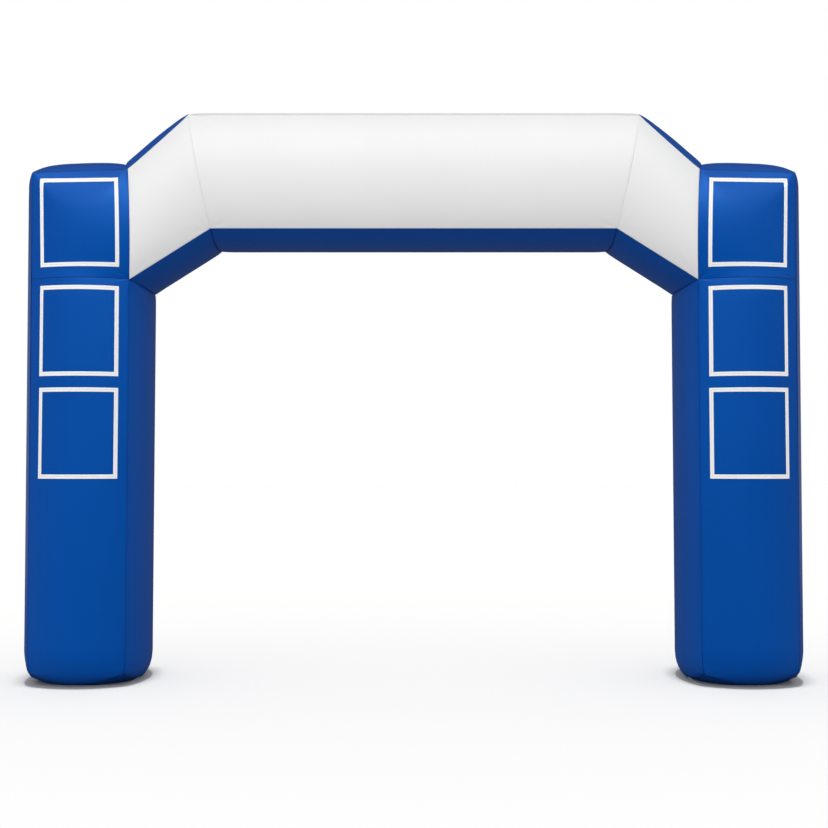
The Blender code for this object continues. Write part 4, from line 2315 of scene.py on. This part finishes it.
@dataclass(frozen=True)
class Studio:
    """A white studio: an even sky, soft lamps, a pale floor and the camera.

    The cloth's gloss shows the sky only in a low band behind the arch, and dimly.
    The lamps light the arch alone, and the floor lamp lights the floor alone.
    """

    backdrop: float = 1.0
    sky: float = 0.81
    sky_in_gloss: float = 0.14
    gloss_band_back: tuple[float, float] = (-0.25, 0.45)
    gloss_band_top: tuple[float, float] = (0.2, 0.32)
    floor_half: float = 60.0
    floor_seen: Colour = (0.583, 0.581, 0.578)
    floor_bounce: Colour = (0.27, 0.27, 0.27)
    floor_in_gloss: Colour = (0.06, 0.06, 0.06)
    lens: float = 49.64
    sensor_width: float = 36.0
    camera_place: tuple[float, float, float] = (0.002, -8.956, 1.694)
    camera_tilt: float = 92.278
    floor_lamp: FloorLamp = FloorLamp()
    lamps: tuple[Softbox, ...] = (
        Softbox("high_softbox", (0.0, -8.5, 9.5), (0.0, 0.0, 3.6), (12.0, 3.0), 550.0),
        Softbox("front_softbox", (0.0, -14.0, 2.4), (0.0, 0.0, 1.5), (8.0, 4.0), 80.0),
        Softbox("low_softbox", (-9.0, -9.0, 1.6), (0.0, 0.0, 1.2), (6.0, 2.5), 120.0),
        Softbox("left_softbox", (-8.0, -9.0, 5.0), (0.0, 0.0, 2.0), (7.0, 5.0), 28.0),
        Softbox("gloss_card", (0.0, -7.0, 10.2), (0.0, 0.0, 3.6), (12.0, 5.0), 1600.0, True, False),
        Softbox("left_card", (-7.0, 3.0, 2.2), (-2.9, 0.0, 2.2), (4.0, 4.0), 15.0, True, False),
        Softbox("right_card", (7.0, 3.0, 2.2), (2.9, 0.0, 2.2), (4.0, 4.0), 15.0, True, False),
    )

    def add_sky(self) -> None:
        """Lights the scene evenly from all round, and shows the camera a plain white backdrop."""
        world = bpy.data.worlds.new("white studio")
        world.use_nodes = True
        nodes = NodeTree(world.node_tree)
        path = nodes.add("ShaderNodeLightPath").outputs
        way = nodes.split(nodes.add("ShaderNodeTexCoord").outputs["Generated"])
        behind = nodes.ramp(way[1], *self.gloss_band_back)
        low = nodes.math("SUBTRACT", 1.0, nodes.ramp(way[2], *self.gloss_band_top))
        in_gloss = nodes.math("MULTIPLY", behind, low)
        gloss = nodes.math("MULTIPLY_ADD", in_gloss, self.sky_in_gloss, -self.sky)
        strength = nodes.math("MULTIPLY_ADD", path["Is Glossy Ray"], gloss, self.sky)
        seen = nodes.math("MULTIPLY", path["Is Camera Ray"], self.backdrop - self.sky)
        background = world.node_tree.nodes["Background"]
        background.inputs["Color"].default_value = opaque((1.0, 1.0, 1.0))
        nodes.link(nodes.math("ADD", strength, seen), background.inputs["Strength"])
        bpy.context.scene.world = world

    def add_floor(self) -> None:
        """Adds the floor, which gives less light back to the arch than it shows."""
        material, nodes, principled = start_material("pale_floor")
        nodes.tree.nodes.remove(principled)
        shader = nodes.add("ShaderNodeBsdfDiffuse")
        path = nodes.add("ShaderNodeLightPath").outputs
        unseen = nodes.blend(
            path["Is Glossy Ray"], opaque(self.floor_bounce), opaque(self.floor_in_gloss)
        )
        tone = nodes.blend(path["Is Camera Ray"], unseen, opaque(self.floor_seen))
        nodes.link(tone, shader.inputs["Color"])
        nodes.link(shader.outputs[0], nodes.tree.nodes["Material Output"].inputs["Surface"])
        half = self.floor_half
        points = np.array([[-half, -half, 0], [half, -half, 0], [half, half, 0], [-half, half, 0.0]])
        mesh = make_mesh(FLOOR, points, np.array([[0, 1, 2, 3]]))
        add_object(FLOOR, mesh, material)

    def add_camera(self) -> None:
        """Adds the camera in front of the arch, at a person's eye level."""
        camera = bpy.data.objects.new("camera", bpy.data.cameras.new("camera"))
        camera.data.lens = self.lens
        camera.data.sensor_width = self.sensor_width
        camera.location = self.camera_place
        camera.rotation_euler = (math.radians(self.camera_tilt), 0.0, 0.0)
        bpy.context.scene.collection.objects.link(camera)
        bpy.context.scene.camera = camera

    def build(self) -> None:
        """Makes the studio."""
        self.add_sky()
        self.add_floor()
        self.add_camera()
        arch, legs, floor = (bpy.data.collections.new(name) for name in ("arch", "legs", "ground"))
        for piece in bpy.context.scene.objects:
            if piece.type == "MESH":
                (floor if piece.name == FLOOR else arch).objects.link(piece)
                if piece.name.endswith(LEG_CLOTHS):
                    legs.objects.link(piece)
        for lamp in self.lamps:
            lamp.build(arch)
        self.floor_lamp.build(floor, legs)
        bpy.context.scene.view_settings.view_transform = "Standard"


def main() -> None:
    """Builds the arch and its studio."""
    logging.basicConfig(level=logging.INFO, format="%(message)s")
    wardrobe = Wardrobe()
    plan = TubePlan()
    for side in Side:
        Leg(side, plan).build(wardrobe)
        Shoulder(side, plan).build(wardrobe)
    Beam(plan).build(wardrobe)
    Studio().build()


if __name__ == "__main__":
    main()
